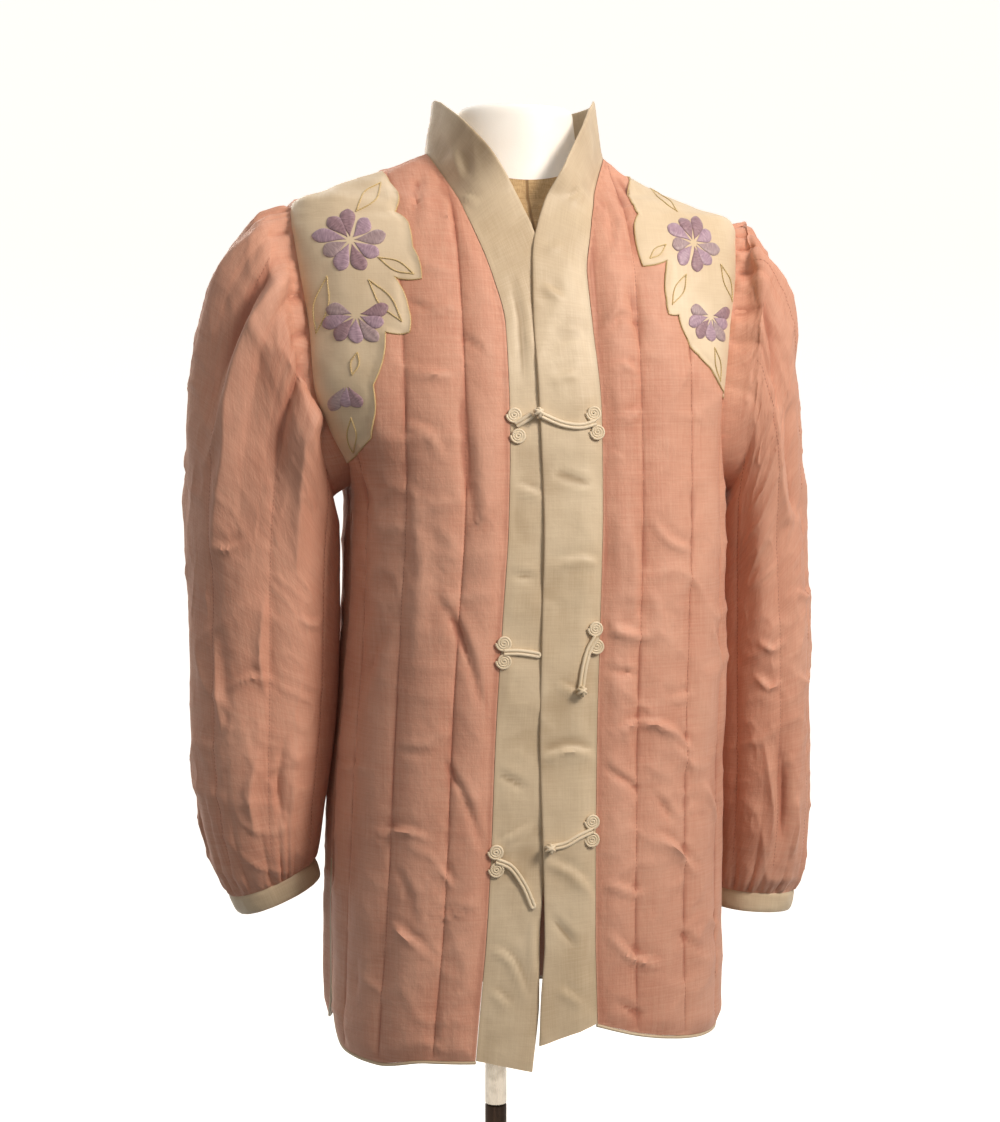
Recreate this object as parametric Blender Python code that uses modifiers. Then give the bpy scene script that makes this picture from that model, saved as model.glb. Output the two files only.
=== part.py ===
"""A quilted bed jacket with satin bands and frog closures, worn by a dress form on a pole stand.

Metres, +Z up, the front faces -Y, the wearer's left is +X. The origin is under the base, on the
pole's axis. The jacket is modelled in its own frame: x from the middle of the shoulders, z from
the hem, and an empty carries that frame to its place on the stand.
"""

import bmesh
import bpy
import numpy as np
from functools import lru_cache, partial
from math import atan2, cos, pi, radians, sin
from mathutils import Matrix, Vector
from mathutils.geometry import delaunay_2d_cdt

RIGHT, LEFT = -1, 1

# Places on the stand
HEM_HEIGHT = 0.640
JACKET_SHIFT = 0.017

# Cloth
SEAM_GAP = 0.0003
SEAM_WALL = 0.0022
CHANNEL_RISE = 0.0030
FIRST_CHANNEL = 0.035
CHANNEL = 0.048
CHANNEL_ROUND = 0.7
CHANNELS_EACH_SIDE = 7
SPANS_PER_CHANNEL = 3
SEAM_FADE = 0.012

# Body of the jacket
NECK_HEIGHT = 0.745
BACK_NECK_DROP = 0.008
TIP_HEIGHTS = {RIGHT: 0.698, LEFT: 0.690}
UNDERARM_HEIGHT = 0.466
ARMHOLE_DEPTH = 0.070
ARMHOLE_ROUND = 0.85
ARMHOLE_TOP_SHARE = 0.52
ARMHOLE_LOW_GAIN = 0.62
VENT_TOP = 0.145
VENT_RADIUS = 0.050
VENT_GAP = 0.0080
VENT_STEPS = 6
VENT_STEP = 0.027
VENT_TAPER = 0.010
BACK_HEM = -0.004
SLOPE_START = 0.680
SLOPE_STRETCH = 2.5
ROW_STEP = 0.036
SHOULDER_START = 0.580
SHOULDER_STEP = 0.009
EDGE_STEP = 0.018
EDGE_CLEAR = 0.006
GRAIN_TOP = 0.480

# Bands and collar
BAND_WALL = 0.0022
BAND_SPANS = 3
BAND_BEND = 0.600
BAND_LOWER_STEP = 0.034
BAND_UPPER_STEP = 0.012
BAND_UPPER_GAP = 0.00045
OVERLAP_LIFT = 0.0034
COLLAR_WIDTH = 0.047
COLLAR_LEAN = 0.008
COLLAR_ROWS = 7
CENTRE_BACK_GAP = 0.0004

# Sleeves and cuffs
AROUND = 64
INSIDE_STEP = 2
SLEEVE_WALL = 0.0024
SLEEVE_RISE = 0.0026
SLEEVE_CHANNELS = 8
SLEEVE_POWER = 2.2
GATHERS = 16
GATHER_RISE = 0.0030
GATHERED_ROWS = 8
TIP_RISE = radians(50)
UNDERARM_RISE = radians(95)
CUFF_HEIGHT = 0.018
CUFF_WALL = 0.0026
CUFF_SWELL = 0.0006
CUFF_TAPER = 0.97

# Piping, applique and frogs
PIPING_RADIUS = 0.0014
APPLIQUE_WALL = 0.0010
FROG_DISC_RADIUS = 0.0073
FROG_DISC_HEIGHT = 0.0030
FROG_CORD = 0.0030
DISC_SIDES = 12
DISC_TAPER = 0.86
CORD_SIDES = 6
KNOT_RADIUS = 0.0046

# Dress form and stand
FORM_AROUND = 32
FORM_REST_GAP = 0.0007
FORM_EASE = 0.0035
FORM_POWER = 2.3
FORM_SHOULDER = 0.690
FORM_SHOULDER_RINGS = 7
SHOULDER_HOLLOW = 1.5
RIDGE_HOLD = 60
TURNED_STEPS = 28
NECK_RING_HEIGHT = 0.752
NECK_FRONT_DROP = 0.030
NECK_BACK_RISE = 0.004
NECK_TOP = 0.786
POLE_RADIUS = 0.0095
POLE_JOINT_HEIGHT = 0.560
BASE_RADIUS = 0.165
BASE_THICKNESS = 0.014
BASE_FALL = 0.003
BASE_ROUND = 0.004
HUB_RADIUS = 0.024
HUB_HEIGHT = 0.030
HUB_FILLET = 0.006
POLE_CHAMFER = 0.001

# Rings of the body's inside, from under the hem to the neck:
# height, half_right, half_left, front, back, power
SECTIONS = (
    (-0.030, 0.1600, 0.1705, 0.133, 0.126, 2.8),
    (0.080, 0.1605, 0.1710, 0.133, 0.126, 2.8),
    (0.160, 0.1590, 0.1720, 0.133, 0.125, 2.8),
    (0.240, 0.1540, 0.1730, 0.132, 0.123, 2.8),
    (0.300, 0.1480, 0.1735, 0.131, 0.121, 2.8),
    (0.380, 0.1430, 0.1720, 0.129, 0.118, 2.9),
    (0.450, 0.1410, 0.1705, 0.127, 0.116, 3.0),
    (0.480, 0.1490, 0.1700, 0.125, 0.117, 3.0),
    (0.515, 0.1720, 0.1710, 0.122, 0.118, 3.0),
    (0.550, 0.1880, 0.1740, 0.118, 0.119, 3.0),
    (0.600, 0.1925, 0.1820, 0.107, 0.117, 2.8),
    (0.650, 0.1950, 0.1880, 0.091, 0.108, 2.7),
    (0.680, 0.1955, 0.1890, 0.076, 0.099, 2.5),
    (0.690, 0.1940, 0.1860, 0.068, 0.095, 2.4),
    (0.700, 0.1880, 0.1550, 0.060, 0.090, 2.4),
    (0.710, 0.1640, 0.1290, 0.048, 0.083, 2.3),
    (0.720, 0.1370, 0.1090, 0.038, 0.075, 2.2),
    (0.730, 0.1090, 0.0925, 0.029, 0.067, 2.1),
    (0.738, 0.0910, 0.0845, 0.021, 0.060, 2.0),
    (0.745, 0.0765, 0.0765, 0.012, 0.052, 2.0),
)

# The seam between each front and its band, from the hem to the neck point, and the band's free
# edge; stand goes from 0, lying on the body, to 1, standing free of it:
# seam_z, seam_x, free_z, free_x, free_y, stand
BAND_RIGHT = (
    (0.002, -0.0610, -0.009, -0.0150, -0.135, 0.0),
    (0.050, -0.0570, 0.050, -0.0090, -0.135, 0.0),
    (0.100, -0.0525, 0.100, -0.0085, -0.135, 0.0),
    (0.160, -0.0490, 0.160, -0.0045, -0.135, 0.0),
    (0.267, -0.0445, 0.267, 0.0020, -0.135, 0.0),
    (0.360, -0.0385, 0.360, 0.0090, -0.132, 0.0),
    (0.442, -0.0330, 0.442, 0.0140, -0.130, 0.0),
    (0.525, -0.0310, 0.528, 0.0160, -0.126, 0.0),
    (0.598, -0.0315, 0.612, 0.0130, -0.113, 0.0),
    (0.640, -0.0400, 0.662, 0.0020, -0.096, 0.3),
    (0.682, -0.0535, 0.712, -0.0160, -0.081, 0.8),
    (0.712, -0.0630, 0.744, -0.0350, -0.067, 1.0),
    (0.732, -0.0715, 0.770, -0.0535, -0.045, 1.0),
    (0.745, -0.0765, 0.789, -0.0650, -0.008, 1.0),
)
BAND_LEFT = (
    (0.0275, 0.0400, 0.013, -0.0100, -0.138, 0.0),
    (0.060, 0.0390, 0.052, -0.0085, -0.138, 0.0),
    (0.100, 0.0380, 0.098, -0.0055, -0.138, 0.0),
    (0.160, 0.0380, 0.160, -0.0065, -0.138, 0.0),
    (0.265, 0.0390, 0.265, -0.0090, -0.138, 0.0),
    (0.360, 0.0420, 0.360, -0.0070, -0.136, 0.0),
    (0.442, 0.0445, 0.442, -0.0050, -0.134, 0.0),
    (0.525, 0.0450, 0.525, -0.0070, -0.130, 0.0),
    (0.600, 0.0405, 0.600, -0.0090, -0.118, 0.0),
    (0.640, 0.0390, 0.652, -0.0065, -0.106, 0.1),
    (0.674, 0.0455, 0.695, 0.0060, -0.090, 0.6),
    (0.706, 0.0560, 0.735, 0.0270, -0.071, 1.0),
    (0.730, 0.0680, 0.768, 0.0480, -0.046, 1.0),
    (0.745, 0.0765, 0.794, 0.0660, -0.008, 1.0),
)

# The hem of each front, from its band to its side vent: share of the way, height
HEM_RIGHT = ((0.0, 0.002), (0.30, 0.002), (0.65, -0.005), (1.0, -0.005))
HEM_LEFT = ((0.0, 0.0275), (0.22, 0.0165), (0.42, 0.0095), (0.70, 0.003), (1.0, 0.000))

# Rings of each sleeve's head, from the armhole's edge: how far along the way out of the edge,
# the share of that way against the sleeve's first ring, and the channels' and gathers' shares
SLEEVE_HEAD = (
    (0.000, 1.0, 0.0, 0.0),
    (0.004, 1.0, 0.0, 0.5),
    (0.013, 1.0, 0.0, 1.0),
    (0.024, 0.5, 0.2, 1.0),
)

# Rings of each sleeve below its head: the points farthest from and nearest to the body, the
# middle and half depth front to back, and the channels' and gathers' shares of their rise:
# outer_x, outer_z, inner_x, inner_z, middle_y, half_depth, channel, gather
SLEEVE_RIGHT = (
    (0.2225, 0.687, 0.1630, 0.452, 0.006, 0.078, 0.2, 0.9),
    (0.2410, 0.664, 0.1590, 0.441, 0.008, 0.081, 0.4, 0.7),
    (0.2560, 0.625, 0.1560, 0.425, 0.012, 0.080, 0.8, 0.4),
    (0.2680, 0.570, 0.1555, 0.400, 0.016, 0.076, 1.0, 0.1),
    (0.2760, 0.505, 0.1555, 0.370, 0.018, 0.072, 1.0, 0.0),
    (0.2790, 0.435, 0.1560, 0.335, 0.019, 0.069, 1.0, 0.0),
    (0.2780, 0.365, 0.1570, 0.300, 0.020, 0.067, 1.0, 0.0),
    (0.2770, 0.295, 0.1600, 0.260, 0.020, 0.066, 1.0, 0.0),
    (0.2745, 0.230, 0.1650, 0.220, 0.020, 0.066, 0.9, 0.1),
    (0.2690, 0.180, 0.1690, 0.190, 0.020, 0.063, 0.6, 0.4),
    (0.2620, 0.148, 0.1710, 0.168, 0.020, 0.057, 0.2, 0.9),
    (0.2530, 0.126, 0.1740, 0.152, 0.020, 0.047, 0.0, 0.9),
    (0.2475, 0.1155, 0.1765, 0.1455, 0.020, 0.040, 0.0, 0.3),
)
SLEEVE_LEFT = (
    (0.2060, 0.693, 0.1900, 0.452, 0.014, 0.084, 0.2, 0.9),
    (0.2190, 0.670, 0.1875, 0.441, 0.020, 0.087, 0.4, 0.7),
    (0.2335, 0.630, 0.1840, 0.425, 0.026, 0.087, 0.8, 0.4),
    (0.2475, 0.567, 0.1830, 0.400, 0.030, 0.084, 1.0, 0.1),
    (0.2580, 0.495, 0.1835, 0.370, 0.033, 0.080, 1.0, 0.0),
    (0.2650, 0.425, 0.1845, 0.335, 0.035, 0.077, 1.0, 0.0),
    (0.2700, 0.355, 0.1855, 0.300, 0.036, 0.076, 1.0, 0.0),
    (0.2725, 0.280, 0.1865, 0.255, 0.036, 0.075, 1.0, 0.0),
    (0.2735, 0.210, 0.1870, 0.205, 0.036, 0.073, 0.9, 0.1),
    (0.2740, 0.160, 0.1870, 0.165, 0.036, 0.068, 0.6, 0.4),
    (0.2730, 0.128, 0.1875, 0.135, 0.036, 0.060, 0.2, 0.9),
    (0.2700, 0.105, 0.1885, 0.111, 0.036, 0.049, 0.0, 0.9),
    (0.2665, 0.0950, 0.1900, 0.1010, 0.036, 0.042, 0.0, 0.3),
)

# Rings of the dress form; rest goes from 0, its own torso, to 1, close under the jacket:
# height, half, front, back, rest
FORM_SECTIONS = (
    (0.165, 0.122, 0.088, 0.084, 0.0),
    (0.200, 0.128, 0.093, 0.089, 0.0),
    (0.260, 0.127, 0.092, 0.089, 0.0),
    (0.330, 0.118, 0.084, 0.082, 0.0),
    (0.385, 0.113, 0.081, 0.079, 0.0),
    (0.440, 0.121, 0.090, 0.084, 0.0),
    (0.500, 0.134, 0.104, 0.091, 0.0),
    (0.550, 0.143, 0.106, 0.096, 0.0),
    (0.600, 0.151, 0.094, 0.098, 0.1),
    (0.640, 0.162, 0.080, 0.095, 0.4),
    (0.670, 0.176, 0.066, 0.090, 0.8),
    (0.690, 0.180, 0.060, 0.085, 1.0),
)

# Rings of the neck block: share of its height, half, front, back
NECK_SECTIONS = (
    (0.000, 0.0560, 0.0450, 0.0420),
    (0.300, 0.0520, 0.0420, 0.0400),
    (0.700, 0.0500, 0.0410, 0.0390),
    (0.920, 0.0485, 0.0400, 0.0380),
    (1.000, 0.0440, 0.0360, 0.0340),
)

# The free edge of each applique, from the shoulder seam to the armhole: distance from the
# middle, height
APPLIQUE_RIGHT = (
    (0.1215, 0.7285),
    (0.1130, 0.7170),
    (0.1140, 0.6900),
    (0.1030, 0.6600),
    (0.0976, 0.6345),
    (0.1190, 0.6370),
    (0.1090, 0.6110),
    (0.1090, 0.5920),
    (0.1270, 0.5920),
    (0.1370, 0.5500),
    (0.1370, 0.5100),
    (0.1365, 0.4800),
)
APPLIQUE_LEFT = (
    (0.1030, 0.7290),
    (0.0900, 0.6900),
    (0.0870, 0.6470),
    (0.1080, 0.6520),
    (0.1060, 0.6080),
    (0.1150, 0.6080),
    (0.1220, 0.5900),
    (0.1430, 0.5650),
    (0.1500, 0.5400),
)

# Each half of a frog: its name, the band it is sewn to, its two discs, the route of its doubled
# cord, how far the cord's last point stands off the cloth, and whether it ends in a knot
FROGS = (
    (
        "frog_top_right",
        RIGHT,
        ((-0.0280, 0.5265), (-0.0250, 0.5100)),
        ((-0.0265, 0.5180), (-0.0220, 0.5210), (-0.0155, 0.5250)),
        0.0030,
        False,
    ),
    (
        "frog_top_left",
        LEFT,
        ((0.0370, 0.5275), (0.0400, 0.5125)),
        ((0.0385, 0.5200), (0.0260, 0.5170), (0.0120, 0.5185), (0.0000, 0.5230), (-0.0075, 0.5265)),
        0.0,
        True,
    ),
    (
        "frog_middle_right",
        RIGHT,
        ((-0.0380, 0.3435), (-0.0380, 0.3290)),
        ((-0.0380, 0.3362), (-0.0280, 0.3362), (-0.0180, 0.3350), (-0.0105, 0.3335)),
        0.0,
        False,
    ),
    (
        "frog_middle_left",
        LEFT,
        ((0.0370, 0.3540), (0.0380, 0.3395)),
        ((0.0375, 0.3468), (0.0320, 0.3380), (0.0275, 0.3240), (0.0245, 0.3060)),
        0.0,
        True,
    ),
    (
        "frog_bottom_right",
        RIGHT,
        ((-0.0450, 0.1745), (-0.0445, 0.1600)),
        ((-0.0448, 0.1672), (-0.0350, 0.1630), (-0.0240, 0.1490), (-0.0150, 0.1290)),
        0.0,
        False,
    ),
    (
        "frog_bottom_left",
        LEFT,
        ((0.0340, 0.1965), (0.0340, 0.1820)),
        ((0.0340, 0.1893), (0.0230, 0.1850), (0.0110, 0.1790), (0.0000, 0.1770)),
        0.0,
        True,
    ),
)

COLOURS = {
    "quilted cloth": ((0.62, 0.28, 0.20), 0.75, 0.0),
    "satin": ((0.76, 0.65, 0.44), 0.40, 0.0),
    "form cover": ((0.66, 0.52, 0.34), 0.85, 0.0),
    "neck cap": ((0.86, 0.85, 0.82), 0.50, 0.0),
    "bright steel": ((0.70, 0.69, 0.66), 0.30, 1.0),
    "dark steel": ((0.05, 0.04, 0.035), 0.35, 0.9),
}


def clear_scene():
    for thing in list(bpy.data.objects):
        bpy.data.objects.remove(thing, do_unlink=True)


def collection(name):
    made = bpy.data.collections.new(name)
    bpy.context.scene.collection.children.link(made)
    return made


def material(name):
    found = bpy.data.materials.get(name)
    if found:
        return found
    colour, roughness, metallic = COLOURS[name]
    made = bpy.data.materials.new(name)
    made.use_nodes = True
    shader = made.node_tree.nodes["Principled BSDF"]
    shader.inputs["Base Color"].default_value = (*colour, 1.0)
    shader.inputs["Roughness"].default_value = roughness
    shader.inputs["Metallic"].default_value = metallic
    made.diffuse_color = (*colour, 1.0)
    return made


def smooth_columns(keys, rows, x):
    """Rows read at x along a monotone cubic, which never swings past the table's own values."""
    keys = np.asarray(keys, float)
    rows = np.asarray(rows, float)
    x = min(max(x, keys[0]), keys[-1])
    i = min(int(np.searchsorted(keys, x, side="right")) - 1, len(keys) - 2)
    steps = np.diff(keys)[:, None]
    slopes = np.diff(rows, axis=0) / steps

    def tangent(k):
        if k == 0:
            return slopes[0]
        if k == len(keys) - 1:
            return slopes[-1]
        before, after = slopes[k - 1], slopes[k]
        weight = (2 * steps[k] + steps[k - 1]), (steps[k] + 2 * steps[k - 1])
        same = before * after > 0
        safe_before = np.where(same, before, 1.0)
        safe_after = np.where(same, after, 1.0)
        mean = (weight[0] + weight[1]) / (weight[0] / safe_before + weight[1] / safe_after)
        return np.where(same, mean, 0.0)

    step = keys[i + 1] - keys[i]
    t = (x - keys[i]) / step
    return (
        (1 + 2 * t) * (1 - t) ** 2 * rows[i]
        + t * (1 - t) ** 2 * step * tangent(i)
        + t * t * (3 - 2 * t) * rows[i + 1]
        + t * t * (t - 1) * step * tangent(i + 1)
    )


@lru_cache(maxsize=None)
def section(height):
    keys = [row[0] for row in SECTIONS]
    rows = [row[1:] for row in SECTIONS]
    return tuple(smooth_columns(keys, rows, height))


def signed_power(value, power):
    return (abs(value) ** power) * (1 if value >= 0 else -1)


def body_point(height, turn):
    """A point of the jacket's inside; turn is 0 at the front and grows to the wearer's left."""
    half_right, half_left, front, back, power = section(round(height, 7))
    across, ahead = sin(turn), cos(turn)
    half = half_left if across >= 0 else half_right
    depth = front if ahead >= 0 else back
    x = half * signed_power(across, 2 / power)
    y = -depth * signed_power(ahead, 2 / power)
    return np.array((x, y, height))


def body_normal(height, turn):
    low = max(height - 0.0005, SECTIONS[0][0])
    high = min(height + 0.0005, SECTIONS[-1][0])
    around = body_point(height, turn + 0.02) - body_point(height, turn - 0.02)
    up = body_point(high, turn) - body_point(low, turn)
    normal = np.cross(around, up)
    return normal / np.linalg.norm(normal)


@lru_cache(maxsize=None)
def ring_arcs(height, start):
    """Turns and arc lengths along a ring, measured from the front (0) or the back (pi)."""
    turns = np.linspace(-0.56 * pi, 0.56 * pi, 449)
    points = np.array([body_point(height, start + turn) for turn in turns])
    arcs = np.concatenate(([0.0], np.cumsum(np.linalg.norm(np.diff(points, axis=0), axis=1))))
    arcs -= np.interp(0.0, turns, arcs)
    return turns, arcs


def arc_of(height, turn, start):
    turns, arcs = ring_arcs(round(height, 7), start)
    return float(np.interp(turn - start, turns, arcs))


def turn_of(height, arc, start):
    turns, arcs = ring_arcs(round(height, 7), start)
    return start + float(np.interp(arc, arcs, turns))


def turn_at_x(height, x):
    half_right, half_left, _, _, power = section(round(height, 7))
    half = half_left if x >= 0 else half_right
    share = min(abs(x) / half, 1.0) ** (power / 2)
    return np.arcsin(share) * (1 if x >= 0 else -1)


def turn_at_y(height, y, side):
    _, _, front, back, power = section(round(height, 7))
    depth = front if y <= 0 else back
    share = min(abs(y) / depth, 1.0) ** (power / 2)
    turn = np.arccos(share)
    return side * (turn if y <= 0 else pi - turn)


def band_rows(side):
    return BAND_RIGHT if side == RIGHT else BAND_LEFT


def hem_rows(side):
    return HEM_RIGHT if side == RIGHT else HEM_LEFT


def band_at(side, height):
    """The band's columns at a height of its seam."""
    rows = band_rows(side)
    return smooth_columns([row[0] for row in rows], [row[1:] for row in rows], height)


def spread(first, last, step):
    count = max(1, int(round(abs(last - first) / step)))
    return [first + (last - first) * i / count for i in range(count + 1)]


def flat_height(height):
    """Height along the cloth: the shoulders slope, so a ring's height says too little there."""
    return height if height < SLOPE_START else SLOPE_START + (height - SLOPE_START) * SLOPE_STRETCH


def height_of_flat(flat):
    return flat if flat < SLOPE_START else SLOPE_START + (flat - SLOPE_START) / SLOPE_STRETCH


def seam_heights(side):
    """Heights of the samples that a front and its band share, from the hem to the neck point."""
    low = band_rows(side)[0][0]
    lower = spread(low, BAND_BEND, BAND_LOWER_STEP)
    upper = spread(BAND_BEND, NECK_HEIGHT, BAND_UPPER_STEP)
    return lower + upper[1:]


def armhole_angles(first, last):
    return [pi * i / (AROUND // 2) for i in range(first, last + 1)]


def armhole_point(side, angle):
    """Height and turn at an angle round the armhole: 0 the shoulder tip, pi the underarm."""
    middle = (TIP_HEIGHTS[side] + UNDERARM_HEIGHT) / 2
    height = middle + (TIP_HEIGHTS[side] - UNDERARM_HEIGHT) / 2 * cos(angle)
    low = (1 - cos(angle)) / 2
    reach = ARMHOLE_DEPTH * (ARMHOLE_TOP_SHARE + ARMHOLE_LOW_GAIN * low)
    return height, turn_at_y(height, -reach * signed_power(sin(angle), ARMHOLE_ROUND), side)


def flat(height, turn, start):
    return np.array((arc_of(height, turn, start), flat_height(height)))


def vent_corner(edge, hem, towards):
    """A quarter turn from the hem up to the side, towards +1 or -1 along the arc."""
    points = []
    for i in range(VENT_STEPS + 1):
        angle = (pi / 2) * i / VENT_STEPS
        arc = edge - towards * VENT_RADIUS * (1 - sin(angle))
        points.append((arc, hem + VENT_RADIUS * (1 - cos(angle))))
    return points


def side_arc(height, side, start, gap):
    turn = start + (side if start == 0.0 else -side) * pi / 2
    arc = arc_of(height, turn, start)
    return arc - np.sign(arc) * gap / 2


def front_outline(side):
    """The front's cut edge as (arc, flat height), from the band's hem round to the band's hem."""
    points = []
    seam = [(h, turn_at_x(h, band_at(side, h)[0])) for h in seam_heights(side)]
    first_arc = arc_of(seam[0][0], seam[0][1], 0.0)
    hem = hem_rows(side)
    last_hem = hem[-1][1]
    edge = side_arc(last_hem, side, 0.0, VENT_GAP)
    keys = [row[0] for row in hem]
    heights = [[row[1]] for row in hem]
    start_arc = first_arc + side * SEAM_GAP
    end_arc = edge - side * VENT_RADIUS
    count = int(round(abs(end_arc - start_arc) / EDGE_STEP))
    for i in range(count):
        share = i / count
        points.append((start_arc + (end_arc - start_arc) * share, smooth_columns(keys, heights, share)[0]))
    points += vent_corner(edge, last_hem, side)
    for height in spread(last_hem + VENT_RADIUS, VENT_TOP, VENT_STEP)[1:]:
        points.append((side_arc(height, side, 0.0, VENT_GAP), height))
    for height in spread(VENT_TOP + VENT_TAPER, UNDERARM_HEIGHT, ROW_STEP)[:-1]:
        points.append((side_arc(height, side, 0.0, SEAM_GAP), height))
    points.append((side_arc(UNDERARM_HEIGHT, side, 0.0, SEAM_GAP), UNDERARM_HEIGHT))
    for angle in reversed(armhole_angles(1, AROUND // 2 - 1)):
        height, turn = armhole_point(side, angle)
        points.append(tuple(flat(height, turn, 0.0)))
    for height in shoulder_heights(side):
        points.append((side_arc(height, side, 0.0, SEAM_GAP), flat_height(height)))
    for height, turn in reversed(seam[1:-1]):
        gap = BAND_UPPER_GAP if height > BAND_BEND else SEAM_GAP
        points.append((arc_of(height, turn, 0.0) + side * gap, flat_height(height)))
    return points


def shoulder_heights(side):
    return spread(TIP_HEIGHTS[side], NECK_HEIGHT, SHOULDER_STEP)


def back_neck():
    """Turns and heights of the back neck seam, from the left neck point to the right one."""
    samples = []
    for i in range(2 * COLLAR_ROWS + 1):
        turn = pi / 2 + pi * i / (2 * COLLAR_ROWS)
        height = NECK_HEIGHT - BACK_NECK_DROP * abs(cos(turn)) ** 1.5
        samples.append((height, turn))
    return samples


def back_outline():
    """The back's cut edge as (arc, flat height); arcs grow towards the wearer's right."""
    points = []
    edge_left = side_arc(BACK_HEM, LEFT, pi, VENT_GAP)
    edge_right = side_arc(BACK_HEM, RIGHT, pi, VENT_GAP)
    points += [(a, z) for a, z in reversed(vent_corner(edge_left, BACK_HEM, -1))]
    hem = spread(edge_left + VENT_RADIUS, edge_right - VENT_RADIUS, EDGE_STEP)[1:-1]
    points += [(arc, BACK_HEM) for arc in hem]
    points += vent_corner(edge_right, BACK_HEM, 1)
    points += back_side(RIGHT)
    neck = back_neck()
    for height, turn in reversed(neck[1:-1]):
        arc = arc_of(height, turn, pi)
        points.append((arc, flat_height(height - SEAM_GAP)))
    points += reversed(back_side(LEFT))
    return points


def back_side(side):
    """Vent, side seam, back of the armhole and shoulder seam, upwards."""
    points = []
    for height in spread(BACK_HEM + VENT_RADIUS, VENT_TOP, VENT_STEP)[1:]:
        points.append((side_arc(height, side, pi, VENT_GAP), height))
    for height in spread(VENT_TOP + VENT_TAPER, UNDERARM_HEIGHT, ROW_STEP)[:-1]:
        points.append((side_arc(height, side, pi, SEAM_GAP), height))
    points.append((side_arc(UNDERARM_HEIGHT, side, pi, SEAM_GAP), UNDERARM_HEIGHT))
    for angle in armhole_angles(AROUND // 2 + 1, AROUND - 1):
        height, turn = armhole_point(side, angle)
        if side == RIGHT:
            turn += 2 * pi
        points.append(tuple(flat(height, turn, pi)))
    for height in shoulder_heights(side):
        points.append((side_arc(height, side, pi, SEAM_GAP), flat_height(height)))
    return points


def edge_distance(point, outline):
    return line_distance(point, list(outline) + [outline[0]])


def line_distance(point, line):
    line = np.asarray(line)
    a, b = line[:-1], line[1:]
    ab = b - a
    t = np.clip(((point - a) * ab).sum(1) / np.maximum((ab * ab).sum(1), 1e-12), 0, 1)
    return float(np.min(np.linalg.norm(a + ab * t[:, None] - point, axis=1)))


def inside_polygon(point, polygon):
    x, y = point
    inside = False
    for (ax, ay), (bx, by) in zip(polygon, polygon[1:] + polygon[:1]):
        if (ay > y) != (by > y) and x < (bx - ax) * (y - ay) / (by - ay) + ax:
            inside = not inside
    return inside


def fill_pattern(outline, inner_points, line=()):
    """Triangles over a cut piece: its edge, the points laid inside it, and a line drawn on it."""
    points = list(outline) + list(inner_points)
    edges = [(i, (i + 1) % len(outline)) for i in range(len(outline))]
    edges += list(zip(line, line[1:]))
    coords = [Vector(p) for p in points]
    _, _, faces, source, _, _ = delaunay_2d_cdt(coords, edges, [], 1, 1e-7)
    order = [min(s) for s in source]
    return [tuple(order[i] for i in face) for face in faces]


def lay_points(outline, columns, rows, clear, line=()):
    """Points on columns that follow the stitch lines, clear of the edge and of a drawn line."""
    points = []
    for flat_z in rows:
        for arc in columns(height_of_flat(flat_z)):
            point = np.array((arc, flat_z))
            if not inside_polygon(point, outline) or edge_distance(point, outline) < clear:
                continue
            if line and line_distance(point, line) < clear:
                continue
            points.append(tuple(point))
    return points


def channel_share(distance):
    """Where a point lies between two stitch lines, 0 to 1, at a distance from the band."""
    if distance < FIRST_CHANNEL:
        return (distance / FIRST_CHANNEL) % 1.0
    return ((distance - FIRST_CHANNEL) / CHANNEL) % 1.0


def grain_x(side, height):
    """The band's seam below the bust, carried straight up above it."""
    return band_at(side, min(height, GRAIN_TOP))[0]


def front_columns(side, step):
    def columns(height):
        grain = arc_of(height, turn_at_x(height, grain_x(side, height)), 0.0)
        span = CHANNEL / SPANS_PER_CHANNEL
        before = [-span * i for i in range(SPANS_PER_CHANNEL, 0, -1)]
        first = [FIRST_CHANNEL * i / SPANS_PER_CHANNEL for i in range(SPANS_PER_CHANNEL)]
        rest = [FIRST_CHANNEL + span * i for i in range(CHANNELS_EACH_SIDE * SPANS_PER_CHANNEL)]
        return [grain + side * distance for distance in (before + first + rest)[::step]]

    return columns


def back_columns(step):
    def columns(height):
        count = CHANNELS_EACH_SIDE * SPANS_PER_CHANNEL
        return [CHANNEL * i / SPANS_PER_CHANNEL for i in range(-count, count + 1)][::step]

    return columns


def front_relief(side):
    def relief(arc, height):
        grain = arc_of(height, turn_at_x(height, grain_x(side, height)), 0.0)
        distance = side * (arc - grain)
        if distance < 0:
            distance += FIRST_CHANNEL + CHANNEL
        return sin(pi * channel_share(distance)) ** CHANNEL_ROUND

    return relief


def back_relief(arc, height):
    return abs(sin(pi * arc / CHANNEL)) ** CHANNEL_ROUND


def build_mesh(name, points, faces, finish):
    mesh = bpy.data.meshes.new(name)
    mesh.from_pydata([tuple(p) for p in points], [], faces)
    mesh.validate()
    shape = bmesh.new()
    shape.from_mesh(mesh)
    bmesh.ops.recalc_face_normals(shape, faces=shape.faces)
    bmesh.ops.triangulate(shape, faces=shape.faces)
    shape.to_mesh(mesh)
    shape.free()
    mesh.shade_smooth()
    mesh.set_sharp_from_angle(angle=radians(50))
    thing = bpy.data.objects.new(name, mesh)
    thing.data.materials.append(material(finish))
    PART.objects.link(thing)
    return thing


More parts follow.
